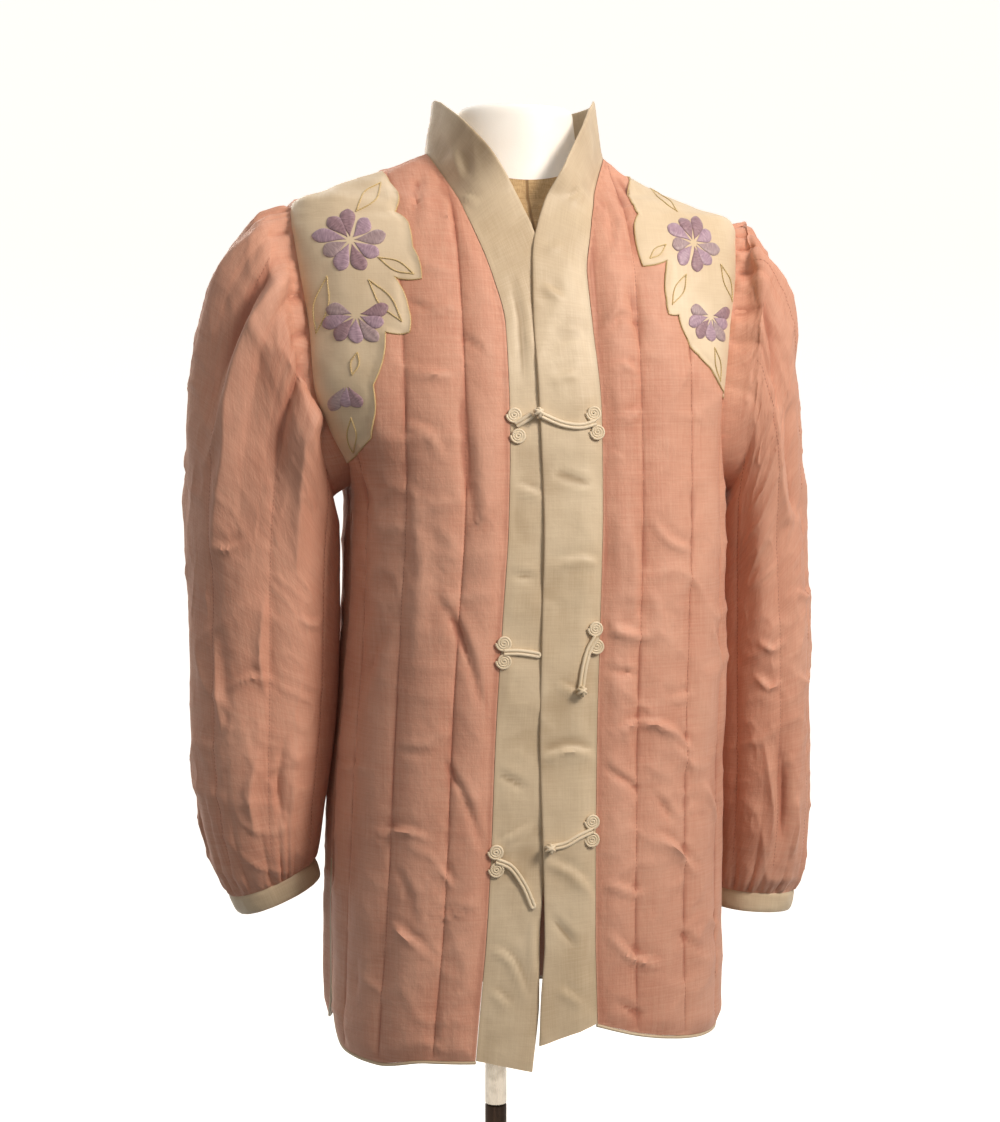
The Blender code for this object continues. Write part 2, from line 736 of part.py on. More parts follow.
def panel(name, outline, start, columns, relief, line=()):
    """A quilted wall over a cut piece: plain inside, channels raised outside.

    Returns what an applique on it is made from: its flat points, outer points, their normals
    and the triangles of its outer face.
    """
    rows = spread(BACK_HEM, flat_height(NECK_HEIGHT), ROW_STEP)
    coarse_rows = [z for i, z in enumerate(rows) if i % 2 == 0 or z > SHOULDER_START]
    fine = lay_points(outline, columns(1), rows, EDGE_CLEAR, line)
    coarse = [
        point
        for z in coarse_rows
        for point in lay_points(outline, columns(1 if z > SHOULDER_START else 2), [z], EDGE_CLEAR)
    ]
    count = len(outline)
    flat_points = list(outline) + fine + list(line)
    outer, inner, normals = [], [], []
    for index, point in enumerate(flat_points):
        height = height_of_flat(point[1])
        turn = turn_of(height, point[0], start)
        rise = 0.0
        if index >= count:
            fade = min(1.0, edge_distance(np.array(point), outline) / SEAM_FADE)
            rise = CHANNEL_RISE * relief(point[0], height) * fade
        normal = body_normal(height, turn)
        normals.append(normal)
        outer.append(body_point(height, turn) + normal * (SEAM_WALL + rise))
    for point in list(outline) + coarse:
        height = height_of_flat(point[1])
        inner.append(body_point(height, turn_of(height, point[0], start)))
    line_indices = list(range(count + len(fine), len(flat_points)))
    outer_faces = fill_pattern(outline, fine + list(line), line_indices)
    inner_faces = fill_pattern(outline, coarse)
    shift = len(outer)
    faces = list(outer_faces)
    faces += [tuple(shift + i for i in reversed(face)) for face in inner_faces]
    faces += [(i, (i + 1) % count, shift + (i + 1) % count, shift + i) for i in range(count)]
    build_mesh(name, outer + inner, faces, "quilted cloth")
    return flat_points, outer, normals, outer_faces


def applique_line(side, outline):
    """The applique's free edge on the flat front, its ends on points of the front's own edge."""
    rows = APPLIQUE_RIGHT if side == RIGHT else APPLIQUE_LEFT
    line = [tuple(flat(z, turn_at_x(z, side * x), 0.0)) for x, z in rows]
    edge = np.asarray(outline)
    ends = [int(np.argmin(np.linalg.norm(edge - np.array(end), axis=1))) for end in (line[0], line[-1])]
    line[0], line[-1] = outline[ends[0]], outline[ends[1]]
    return line, ends


def applique(name, side, outline, line, ends, laid):
    """The faces of the front between the drawn line and the armhole, moved out and thickened."""
    flat_points, outer, normals, faces = laid
    low, high = sorted(ends)
    edge = outline[low + 1 : high]
    region = list(line) + (edge if ends[0] == high else edge[::-1])
    kept = []
    for face in faces:
        middle = np.mean([flat_points[i] for i in face], axis=0)
        if inside_polygon(middle, region):
            kept.append(face)
    used = sorted({i for face in kept for i in face})
    place = {index: k for k, index in enumerate(used)}
    under = [outer[i] + normals[i] * SEAM_GAP for i in used]
    over = [outer[i] + normals[i] * (SEAM_GAP + APPLIQUE_WALL) for i in used]
    top = [tuple(place[i] for i in face) for face in kept]
    return close_sheet(name, over, under, top, "satin")


def close_sheet(name, over, under, top, finish):
    """A closed wall between two copies of a sheet of faces."""
    shift = len(over)
    sides = {}
    for face in top:
        for a, b in zip(face, face[1:] + face[:1]):
            if (b, a) in sides:
                del sides[(b, a)]
            else:
                sides[(a, b)] = True
    faces = list(top) + [tuple(shift + i for i in reversed(face)) for face in top]
    faces += [(b, a, shift + a, shift + b) for a, b in sides]
    return build_mesh(name, list(over) + list(under), faces, finish)


def unit(vector):
    return vector / np.linalg.norm(vector)


def edge_frames(points, normals, target, closed):
    """For each point of a seam, the way on past the seam along the cloth, towards a target."""
    ways = []
    count = len(points)
    for i, (point, normal) in enumerate(zip(points, normals)):
        after = points[(i + 1) % count] if closed or i < count - 1 else point
        before = points[i - 1] if closed or i > 0 else point
        way = unit(np.cross(normal, unit(after - before)))
        aim = target(point) if callable(target) else target - point
        ways.append(way if way @ aim > 0 else -way)
    return ways


def grid_normals(rows, closed, outward):
    """Normals of a grid of points; outward(row, column) says which way they face."""
    rows = np.asarray(rows)
    down = np.gradient(rows, axis=0)
    if closed:
        across = np.roll(rows, -1, axis=1) - np.roll(rows, 1, axis=1)
    else:
        across = np.gradient(rows, axis=1)
    normals = np.cross(across, down)
    normals /= np.linalg.norm(normals, axis=2)[:, :, None]
    for i in range(rows.shape[0]):
        for j in range(rows.shape[1]):
            if normals[i, j] @ outward(i, j) < 0:
                normals[i, j] *= -1
    return normals


def tube_faces(rings):
    """Faces between lists of point indices, ring to ring; a ring may have half the points."""
    faces = []
    for upper, lower in zip(rings, rings[1:]):
        n = len(upper)
        if len(lower) == n:
            faces += [(upper[j], upper[(j + 1) % n], lower[(j + 1) % n], lower[j]) for j in range(n)]
            continue
        if n < len(lower):
            upper, lower, flip = lower, upper, True
        else:
            flip = False
        n, m = len(upper), len(lower)
        made = []
        for j in range(m):
            a, b, c = upper[2 * j], upper[2 * j + 1], upper[(2 * j + 2) % n]
            made.append((a, b, lower[j]))
            made.append((b, c, lower[(j + 1) % m]))
            made.append((b, lower[(j + 1) % m], lower[j]))
        faces += [tuple(reversed(f)) for f in made] if flip else made
    return faces


def sleeve_ring(side, row):
    """The middle of a sleeve's wall at one row, from its outer side round by the front."""
    outer_x, outer_z, inner_x, inner_z, middle_y, half_depth = row[:6]
    outer = np.array((side * outer_x, middle_y, outer_z))
    inner = np.array((side * inner_x, middle_y, inner_z))
    centre, half = (outer + inner) / 2, (outer - inner) / 2
    ring = []
    for j in range(AROUND):
        angle = 2 * pi * j / AROUND
        ahead = np.array((0.0, -half_depth * signed_power(sin(angle), 2 / SLEEVE_POWER), 0.0))
        ring.append(centre + half * signed_power(cos(angle), 2 / SLEEVE_POWER) + ahead)
    return np.array(ring)


def sleeve(side, name, table):
    """A puffed sleeve, from the armhole's edge to the cuff."""
    angles = [2 * pi * j / AROUND for j in range(AROUND)]
    places = [armhole_point(side, angle) for angle in angles]
    edge = [body_point(*place) for place in places]
    normals = [body_normal(*place) for place in places]
    centre = np.mean(edge, axis=0)
    ways = edge_frames(edge, normals, centre, True)
    rises = [TIP_RISE + (UNDERARM_RISE - TIP_RISE) * (1 - cos(a)) / 2 for a in angles]
    start, runs, start_normals = [], [], []
    for point, normal, way, rise in zip(edge, normals, ways, rises):
        clear = SEAM_GAP + SLEEVE_WALL / 2 * sin(rise)
        start.append(point + way * clear + normal * SEAM_WALL / 2)
        runs.append(way * cos(rise) + normal * sin(rise))
        start_normals.append(normal * cos(rise) - way * sin(rise))
    start, runs = np.array(start), np.array(runs)
    first = sleeve_ring(side, table[0])
    rings = [(start + runs * step) * own + first * (1 - own) for step, own, _, _ in SLEEVE_HEAD]
    rings += [sleeve_ring(side, row) for row in table]
    centres = [np.mean(ring, axis=0) for ring in rings]
    found = grid_normals(rings, True, lambda i, j: rings[i][j] - centres[i])
    found[0] = start_normals
    axis = cuff_axis(side, table)
    for j in range(AROUND):
        flat_out = rings[-1][j] - centres[-1]
        found[-1][j] = unit(flat_out - axis * (flat_out @ axis))
    amounts = [row[2:4] for row in SLEEVE_HEAD] + [row[6:8] for row in table]
    outer, inner = [], []
    for k, (ring, out) in enumerate(zip(rings, found)):
        channel, gather = amounts[k]
        for j in range(AROUND):
            wave = 0.5 + 0.5 * cos(GATHERS * angles[j])
            if k < GATHERED_ROWS:
                wave *= head_share(angles[j])
            quilt = abs(sin(SLEEVE_CHANNELS * angles[j] / 2)) ** CHANNEL_ROUND
            rise = channel * SLEEVE_RISE * quilt + gather * GATHER_RISE * wave
            outer.append(ring[j] + out[j] * (SLEEVE_WALL / 2 + rise))
    last = len(rings) - 1
    head = len(SLEEVE_HEAD)
    plain = [k for k in range(len(rings)) if k <= head or (last - k) % 2 == 0]
    for k in plain:
        for j in range(0, AROUND, INSIDE_STEP):
            inner.append(rings[k][j] - found[k][j] * SLEEVE_WALL / 2)
    outside = [[k * AROUND + j for j in range(AROUND)] for k in range(len(rings))]
    count = AROUND // INSIDE_STEP
    shift = len(outer)
    inside = [[shift + i * count + j for j in range(count)] for i in range(len(plain))]
    faces = tube_faces(outside + inside[::-1] + outside[:1])
    return build_mesh(name, outer + inner, faces, "quilted cloth")


def head_share(angle):
    """How far the head's gathers stand up at an angle: fully round its top, not at all below."""
    return min(1.0, max(0.0, 2 * cos(angle) + 0.9))


def cuff_axis(side, table):
    """The way down along a cuff, square to the sleeve's last ring."""
    outer_x, outer_z, inner_x, inner_z = table[-1][:4]
    half = np.array((side * (outer_x - inner_x), 0.0, outer_z - inner_z))
    axis = unit(np.array((half[2], 0.0, -half[0])))
    return axis if axis[2] < 0 else -axis


def cuff(side, name, table):
    axis = cuff_axis(side, table)
    ring = sleeve_ring(side, table[-1])[::INSIDE_STEP]
    centre = np.mean(ring, axis=0)
    half_wall = CUFF_WALL / 2
    profile = ((0.0, half_wall), (0.5, half_wall + CUFF_SWELL), (1.0, half_wall))
    profile += ((1.0, -half_wall), (0.0, -half_wall))
    points, rings = [], []
    for share, offset in profile:
        scale = 1 + (CUFF_TAPER - 1) * share
        down = axis * (SEAM_GAP + CUFF_HEIGHT * share)
        row = []
        for point in ring:
            spoke = (point - centre) * scale
            row.append(len(points))
            points.append(centre + spoke + unit(spoke) * offset + down)
        rings.append(row)
    faces = tube_faces(rings + rings[:1])
    return build_mesh(name, points, faces, "satin")


def band(side, name):
    """The satin band from the hem up the front and round to the middle of the back neck."""
    places, free, stands = [], [], []
    for height in seam_heights(side):
        seam_x, free_z, free_x, free_y, stand = band_at(side, height)
        places.append((height, turn_at_x(height, seam_x)))
        lying = body_point(free_z, turn_at_x(free_z, free_x)) if stand < 1 else np.zeros(3)
        standing = np.array((free_x, free_y, free_z))
        free.append((free_x, free_z, lying * (1 - stand) + standing * stand))
        stands.append(stand)
    neck = back_neck()
    half = neck[1 : COLLAR_ROWS + 1] if side == LEFT else neck[-2 : COLLAR_ROWS - 1 : -1]
    for height, turn in half:
        point = body_point(height, turn)
        lean = -unit(np.array((point[0], point[1], 0.0))) * COLLAR_LEAN
        places.append((height, turn))
        free.append((0.0, 0.0, point + lean + np.array((0.0, 0.0, COLLAR_WIDTH))))
        stands.append(1.0)
    edge = [body_point(*place) for place in places]
    normals = [body_normal(*place) for place in places]

    def inwards(point):
        return np.array((-point[0], 0.0 if point[1] < 0 else -point[1], 0.02))

    ways = edge_frames(edge, normals, inwards, False)
    grid = []
    for i, (point, normal, way) in enumerate(zip(edge, normals, ways)):
        free_x, free_z, tip = free[i]
        rise = atan2((tip - point) @ normal, (tip - point) @ way) * stands[i]
        clear = SEAM_GAP * 0.3 + BAND_WALL / 2 * max(0.0, sin(rise))
        foot = point + way * clear + normal * SEAM_WALL / 2
        row = [foot]
        for c in range(1, BAND_SPANS + 1):
            share = c / BAND_SPANS
            standing = foot + (tip - foot) * share
            lying = standing
            if stands[i] < 1:
                height = places[i][0] + (free_z - places[i][0]) * share
                x = point[0] + (free_x - point[0]) * share
                turn = turn_at_x(height, x)
                lift = SEAM_WALL / 2 + (OVERLAP_LIFT if side == LEFT else 0.0)
                lying = body_point(height, turn) + body_normal(height, turn) * lift
            row.append(lying * (1 - stands[i]) + standing * stands[i])
        grid.append(row)
    grid = np.array(grid)
    grid[-1, :, 0] = side * CENTRE_BACK_GAP / 2

    def outwards(i, j):
        point = grid[i][j]
        return np.array((point[0] * stands[i], -1.0 if point[1] < 0.0 else point[1] * 40, 0.3))

    found = grid_normals(grid, False, outwards)
    found[-1, :, 0] = 0.0
    found[-1] /= np.linalg.norm(found[-1], axis=1)[:, None]
    over = (grid + found * BAND_WALL / 2).reshape(-1, 3)
    under = (grid - found * BAND_WALL / 2).reshape(-1, 3)
    width = BAND_SPANS + 1
    top = []
    for i in range(len(grid) - 1):
        for j in range(BAND_SPANS):
            a = i * width + j
            top.append((a, a + 1, a + width + 1, a + width))
    return close_sheet(name, list(over), list(under), top, "satin")


def piping(name, outline, start, first, last):
    """A round cord along a stretch of a panel's cut edge."""
    points, normals = [], []
    for arc, flat_z in outline:
        height = height_of_flat(flat_z)
        turn = turn_of(height, arc, start)
        points.append(body_point(height, turn))
        normals.append(body_normal(height, turn))
    centre = np.mean(points, axis=0)
    stretch = slice(first, last)
    ways = edge_frames(points[stretch], normals[stretch], centre, False)
    path = []
    for point, normal, way in zip(points[stretch], normals[stretch], ways):
        path.append(point - way * (PIPING_RADIUS + SEAM_GAP) + normal * SEAM_WALL / 2)
    return cord(name, path, PIPING_RADIUS, 1, "satin")


def cord(name, path, radius, resolution, finish):
    curve = bpy.data.curves.new(name, "CURVE")
    curve.dimensions = "3D"
    curve.bevel_depth = radius
    curve.bevel_resolution = resolution
    curve.use_fill_caps = True
    spline = curve.splines.new("POLY")
    spline.points.add(len(path) - 1)
    for spot, point in zip(spline.points, path):
        spot.co = (*point, 1.0)
    curve.materials.append(material(finish))
    thing = bpy.data.objects.new(name, curve)
    PART.objects.link(thing)
    return thing


def cloth_top(side, x, z):
    """How far the finished cloth stands off the body at a point of the front."""
    seam_x, _, free_x = band_at(side, z)[:3]
    across = side * x
    if across > side * seam_x:
        arc = arc_of(z, turn_at_x(z, x), 0.0)
        fade = min(1.0, (across - side * seam_x) / SEAM_FADE)
        return SEAM_WALL + CHANNEL_RISE * front_relief(side)(arc, z) * fade
    lift = 0.0
    if side == LEFT:
        lift = OVERLAP_LIFT * min(1.0, (seam_x - x) / ((seam_x - free_x) / BAND_SPANS))
    return SEAM_WALL + max(0.0, lift)


def seat(side, x, z, radius):
    """A flat seat on the front: its centre and normal, clear of the cloth round it."""
    normal = body_normal(z, turn_at_x(z, x))
    middle = body_point(z, turn_at_x(z, x))
    high = 0.0
    for k in range(12):
        for share in (0.5, 1.0):
            px = x + radius * share * cos(k * pi / 6)
            pz = z + radius * share * sin(k * pi / 6)
            point = body_point(pz, turn_at_x(pz, px))
            top = point + body_normal(pz, turn_at_x(pz, px)) * cloth_top(side, px, pz)
            high = max(high, (top - middle) @ normal)
    return middle + normal * (high + SEAM_GAP), normal


def frog(name, side, discs, route, last_lift, knot):
    """One half of a frog closure: two coiled discs, a doubled cord, and a knot or a bare loop."""
    pieces = []
    middles = []
    for x, z in discs:
        place, normal = seat(side, x, z, FROG_DISC_RADIUS)
        turn = Vector(normal).to_track_quat("Z", "Y").to_matrix().to_4x4()
        middles.append(place + normal * FROG_DISC_HEIGHT / 2)
        pieces.append(disc(Matrix.Translation(Vector(middles[-1])) @ turn, name))
    path = [(middles[0] + middles[1]) / 2]
    for k, (x, z) in enumerate(route[1:], 1):
        place, normal = seat(side, x, z, FROG_CORD / 2)
        share = k / (len(route) - 1)
        path.append(place + normal * (FROG_CORD * 0.5 + last_lift * share))
    pieces.insert(0, flat_cord(path, name))
    if knot:
        ball = bmesh.new()
        way = unit(path[-1] - path[-2])
        place, normal = seat(side, route[-1][0], route[-1][1], KNOT_RADIUS * 0.7)
        bmesh.ops.create_uvsphere(ball, u_segments=8, v_segments=6, radius=KNOT_RADIUS)
        spot = path[-1] + way * KNOT_RADIUS * 0.5
        spot = spot + normal * max(0.0, KNOT_RADIUS - (spot - place) @ normal)
        bmesh.ops.translate(ball, verts=ball.verts, vec=Vector(spot))
        pieces.append(finish_piece(ball, name))
    return join(name, pieces, "satin")


def disc(middle, name):
    shape = bmesh.new()
    bmesh.ops.create_cone(
        shape,
        cap_ends=True,
        segments=DISC_SIDES,
        radius1=FROG_DISC_RADIUS,
        radius2=FROG_DISC_RADIUS * DISC_TAPER,
        depth=FROG_DISC_HEIGHT,
        matrix=middle,
    )
    return finish_piece(shape, name)


def flat_cord(path, name):
    """Two cords side by side as one flat six-sided tube that lies on the cloth."""
    shape = bmesh.new()
    rings = []
    for i, point in enumerate(path):
        ahead = path[min(i + 1, len(path) - 1)] - path[max(i - 1, 0)]
        up = np.array((0.0, -1.0, 0.0))
        across = unit(np.cross(unit(ahead), up))
        up = unit(np.cross(across, unit(ahead)))
        ring = []
        for k in range(CORD_SIDES):
            angle = 2 * pi * k / CORD_SIDES
            wide = across * FROG_CORD * cos(angle)
            thick = up * FROG_CORD / 2 * sin(angle) / sin(pi / 3)
            ring.append(shape.verts.new(point + wide + thick))
        rings.append(ring)
    for upper, lower in zip(rings, rings[1:]):
        for k in range(CORD_SIDES):
            after = (k + 1) % CORD_SIDES
            shape.faces.new((upper[k], upper[after], lower[after], lower[k]))
    shape.faces.new(rings[0])
    shape.faces.new(rings[-1])
    bmesh.ops.recalc_face_normals(shape, faces=shape.faces)
    return finish_piece(shape, name)


def finish_piece(shape, name):
    mesh = bpy.data.meshes.new(name + "_piece")
    shape.to_mesh(mesh)
    shape.free()
    thing = bpy.data.objects.new(name + "_piece", mesh)
    CUTTERS.objects.link(thing)
    thing.hide_render = True
    thing.display_type = "WIRE"
    return thing


def join(name, pieces, finish):
    """The first piece with the others united to it."""
    thing = bpy.data.objects.new(name, pieces[0].data.copy())
    thing.data.name = name
    thing.data.materials.append(material(finish))
    PART.objects.link(thing)
    for piece in pieces[1:]:
        step = thing.modifiers.new("unite", "BOOLEAN")
        step.operation = "UNION"
        step.solver = "EXACT"
        step.object = piece
    return thing


def form_rings():
    turns = [2 * pi * j / FORM_AROUND for j in range(FORM_AROUND)]
    rings = []
    for height, half, front, back, rest in FORM_SECTIONS:
        ring = []
        for turn in turns:
            across, ahead = sin(turn), cos(turn)
            depth = front if ahead >= 0 else back
            own = np.array(
                (
                    half * signed_power(across, 2 / FORM_POWER),
                    -depth * signed_power(ahead, 2 / FORM_POWER),
                    height,
                )
            )
            under = body_point(height, turn) - body_normal(height, turn) * FORM_EASE
            ring.append(own * (1 - rest) + under * rest)
        rings.append(ring)
    last = rings[-1]
    neck = neck_ring(turns, NECK_SECTIONS[0], 0.0)
    for k in range(1, FORM_SHOULDER_RINGS + 1):
        share = k / FORM_SHOULDER_RINGS
        ring = []
        for turn, low, high in zip(turns, last, neck):
            if share == 1:
                ring.append(high)
                continue
            slope = low * (1 - share) + high * share
            slope[2] = low[2] + (high[2] - low[2]) * share**SHOULDER_HOLLOW
            slope = under_cloth(slope)
            hold = abs(sin(turn)) ** RIDGE_HOLD
            ring.append(slope * (1 - hold) + ridge_point(turn, share, high) * hold)
        rings.append(ring)
    return rings, neck


def under_cloth(point):
    """The point, lowered where it must be until it lies well under the jacket's inside."""
    x, y, z = point
    while z > FORM_SHOULDER:
        half_right, half_left, front, back, power = section(round(z + FORM_EASE, 7))
        half = half_left if x >= 0 else half_right
        depth = front if y <= 0 else back
        if (abs(x) / half) ** power + (abs(y) / depth) ** power < 1:
            break
        z -= 0.0005
    return np.array((x, y, z))


def ridge_point(turn, share, neck_point):
    """A point just under the shoulder seam, from its tip to the neck."""
    side = LEFT if sin(turn) >= 0 else RIGHT
    before_neck = (FORM_SHOULDER_RINGS - 1) / FORM_SHOULDER_RINGS
    if share > before_neck + 0.01:
        return neck_point
    tip = max(TIP_HEIGHTS[side], FORM_SHOULDER)
    height = tip + (NECK_HEIGHT - tip) * share / before_neck
    turn = side * pi / 2
    return body_point(height, turn) - body_normal(height, turn) * FORM_REST_GAP


def neck_ring(turns, row, share):
    """A ring round the form's neck: tilted where it leaves the torso, level at its top."""
    _, half, front, back = row
    ring = []
    for turn in turns:
        ahead = cos(turn)
        foot = NECK_RING_HEIGHT - (NECK_FRONT_DROP if ahead > 0 else NECK_BACK_RISE) * ahead
        depth = front if ahead >= 0 else back
        height = foot + (NECK_TOP - foot) * share
        ring.append(np.array((half * sin(turn), -depth * ahead, height)))
    return ring


def loft(name, rings, finish):
    points = [point for ring in rings for point in ring]
    n = len(rings[0])
    indices = [[k * n + j for j in range(n)] for k in range(len(rings))]
    faces = tube_faces(indices)
    faces += [tuple(indices[0]), tuple(reversed(indices[-1]))]
    return build_mesh(name, points, faces, finish)


def dress_form():
    rings, neck = form_rings()
    loft("form_torso", rings, "form cover")
    turns = [2 * pi * j / FORM_AROUND for j in range(FORM_AROUND)]
    raised = [neck_ring(turns, row, row[0]) for row in NECK_SECTIONS]
    for point in raised[0]:
        point[2] += SEAM_GAP
    loft("form_neck", raised, "neck cap")


def turned(name, profile, finish):
    """A solid turned about the pole's axis, its profile from the top of the axis to the foot."""
    mesh = bpy.data.meshes.new(name)
    edges = [(i, i + 1) for i in range(len(profile) - 1)]
    mesh.from_pydata([(r, 0.0, z) for r, z in profile], edges, [])
    thing = bpy.data.objects.new(name, mesh)
    turn = thing.modifiers.new("turn", "SCREW")
    turn.axis = "Z"
    turn.steps = TURNED_STEPS
    turn.render_steps = TURNED_STEPS
    turn.use_merge_vertices = True
    turn.merge_threshold = 0.00001
    thing.data.materials.append(material(finish))
    PART.objects.link(thing)


def stand():
    form_foot = HEM_HEIGHT + FORM_SECTIONS[0][0]
    turned(
        "base",
        (
            (0.0, HUB_HEIGHT),
            (HUB_RADIUS - BASE_ROUND, HUB_HEIGHT),
            (HUB_RADIUS, HUB_HEIGHT - BASE_ROUND),
            (HUB_RADIUS, BASE_THICKNESS + HUB_FILLET),
            (HUB_RADIUS + HUB_FILLET, BASE_THICKNESS),
            (BASE_RADIUS - BASE_ROUND, BASE_THICKNESS - BASE_FALL),
            (BASE_RADIUS, BASE_THICKNESS - BASE_FALL - BASE_ROUND),
            (BASE_RADIUS, 0.0),
            (0.0, 0.0),
        ),
        "dark steel",
    )
    pole("pole_lower", HUB_HEIGHT + SEAM_GAP, POLE_JOINT_HEIGHT, "dark steel")
    pole("pole_upper", POLE_JOINT_HEIGHT + SEAM_GAP, form_foot - SEAM_GAP, "bright steel")


def pole(name, low, high, finish):
    profile = (
        (0.0, high),
        (POLE_RADIUS - POLE_CHAMFER, high),
        (POLE_RADIUS, high - POLE_CHAMFER),
        (POLE_RADIUS, low + POLE_CHAMFER),
        (POLE_RADIUS - POLE_CHAMFER, low),
        (0.0, low),
    )
    turned(name, profile, finish)


PART = None
CUTTERS = None


def main():
    global PART, CUTTERS
    clear_scene()
    PART = collection("bed_jacket_on_form")
    CUTTERS = collection("joined_pieces")
    for side, word, table in ((RIGHT, "right", SLEEVE_RIGHT), (LEFT, "left", SLEEVE_LEFT)):
        outline = front_outline(side)
        line, ends = applique_line(side, outline)
        columns = partial(front_columns, side)
        laid = panel("front_" + word, outline, 0.0, columns, front_relief(side), line)
        applique("applique_" + word, side, outline, line, ends, laid)
        sleeve(side, "sleeve_" + word, table)
        cuff(side, "cuff_" + word, table)
        band(side, "band_" + word)
        vent = next(i for i, point in enumerate(outline) if point[1] >= VENT_TOP - 1e-6)
        piping("piping_front_" + word, outline, 0.0, 0, vent + 1)
    outline = back_outline()
    panel("back", outline, pi, back_columns, back_relief)
    vents = [i for i, point in enumerate(outline) if abs(point[1] - VENT_TOP) < 1e-6]
    piping("piping_back", outline[vents[-1] :] + outline[: vents[0] + 1], pi, 0, None)
    for row in FROGS:
        frog(*row)
    dress_form()
    jacket = bpy.data.objects.new("jacket_frame", None)
    jacket.location = (JACKET_SHIFT, 0.0, HEM_HEIGHT)
    PART.objects.link(jacket)
    for thing in [*PART.objects, *CUTTERS.objects]:
        if thing is not jacket:
            thing.parent = jacket
    stand()


main()
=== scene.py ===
from math import cos, pi, radians, sin

import bpy
import numpy as np
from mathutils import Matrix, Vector
from mathutils.geometry import delaunay_2d_cdt


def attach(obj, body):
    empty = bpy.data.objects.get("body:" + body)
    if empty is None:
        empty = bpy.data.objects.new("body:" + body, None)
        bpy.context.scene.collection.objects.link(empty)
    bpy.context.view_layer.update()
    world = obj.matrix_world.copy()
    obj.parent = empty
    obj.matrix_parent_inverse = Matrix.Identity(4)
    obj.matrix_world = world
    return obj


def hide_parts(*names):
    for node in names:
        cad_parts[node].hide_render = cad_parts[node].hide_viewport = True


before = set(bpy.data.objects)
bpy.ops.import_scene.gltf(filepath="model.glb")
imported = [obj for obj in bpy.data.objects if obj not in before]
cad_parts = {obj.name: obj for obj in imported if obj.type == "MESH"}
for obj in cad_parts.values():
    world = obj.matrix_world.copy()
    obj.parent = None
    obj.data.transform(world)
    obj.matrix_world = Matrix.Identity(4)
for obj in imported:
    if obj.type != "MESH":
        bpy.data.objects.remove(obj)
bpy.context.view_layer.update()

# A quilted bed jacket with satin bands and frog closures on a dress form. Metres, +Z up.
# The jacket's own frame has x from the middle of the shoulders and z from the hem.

RIGHT, LEFT = -1, 1
WORDS = {RIGHT: "right", LEFT: "left"}
JACKET_PLACE = np.array((0.017, 0.0, 0.640))

# Cloth
SEAM_GAP = 0.0003
SEAM_WALL = 0.0022
CHANNEL_RISE = 0.0035
CHANNEL_ROUND = 0.62
FIRST_CHANNEL = 0.035
CHANNEL = 0.048
CHANNELS_EACH_SIDE = 7
SEAM_FADE = 0.012
LEAST_WALL = 0.0010
ROW_STEP = 0.0036
INSIDE_STEP = 0.012
STUDIO_RADIUS = 9.0
STUDIO_COVE = 2.0
STUDIO_HEIGHT = 8.0
STITCH_PITCH = 0.0034
STITCH_LENGTH = 0.0025
THREAD_RADIUS = 0.00028
CREASE_GAIN = 2.15
CREASE_NARROW = 0.85
# Crumples of the cloth: cell, lean, height
CRUMPLES = ((0.050, 0.5, 0.0022), (0.032, -0.7, 0.0017), (0.019, 0.3, 0.0011))
COLUMN_SHARES = (0.0, 0.02, 0.06, 0.12, 0.2, 0.3, 0.4, 0.5, 0.6, 0.7, 0.8, 0.88, 0.94, 0.98)

# Body
NECK_HEIGHT = 0.745
BACK_NECK_DROP = 0.008
TIP_HEIGHTS = {RIGHT: 0.698, LEFT: 0.690}
UNDERARM_HEIGHT = 0.466
ARMHOLE_DEPTH = 0.070
ARMHOLE_ROUND = 0.85
ARMHOLE_TOP_SHARE = 0.52
ARMHOLE_LOW_GAIN = 0.62
VENT_TOP = 0.145
VENT_RADIUS = 0.050
VENT_GAP = 0.0080
VENT_TAPER = 0.010
BACK_HEM = -0.004
SLOPE_START = 0.680
SLOPE_STRETCH = 2.5
GRAIN_TOP = 0.480
EDGE_STEP = 0.0035
ARMHOLE_STEPS = 150

# Bands and collar
BAND_WALL = 0.0022
BAND_BEND = 0.600
BAND_UPPER_GAP = 0.00045
OVERLAP_LIFT = 0.0034
COLLAR_WIDTH = 0.047
COLLAR_LEAN = 0.008
COLLAR_STEPS = 44
CENTRE_BACK_GAP = 0.0004

# Sleeves and cuffs
AROUND = 320
SLEEVE_ROW = 0.0033
SLEEVE_WALL = 0.0024
SLEEVE_RISE = 0.0030
SLEEVE_CHANNELS = 8
HEAD_LENGTH = 0.085
HEAD_SMOOTHING = 36
SLEEVE_FOLD_GAIN = 1.0
SLEEVE_POWER = 2.2
TIP_RISE = radians(50)
UNDERARM_RISE = radians(95)
CUFF_HEIGHT = 0.018
CUFF_WALL = 0.0026
CUFF_SWELL = 0.0011
CUFF_TAPER = 0.97
CUFF_AROUND = 160

# Trim
PIPING_RADIUS = 0.0014
APPLIQUE_WALL = 0.0010
APPLIQUE_LEVEL = 0.0052
FROG_DISC_RADIUS = 0.0073
FROG_CORD = 0.0015
KNOT_RADIUS = 0.0046

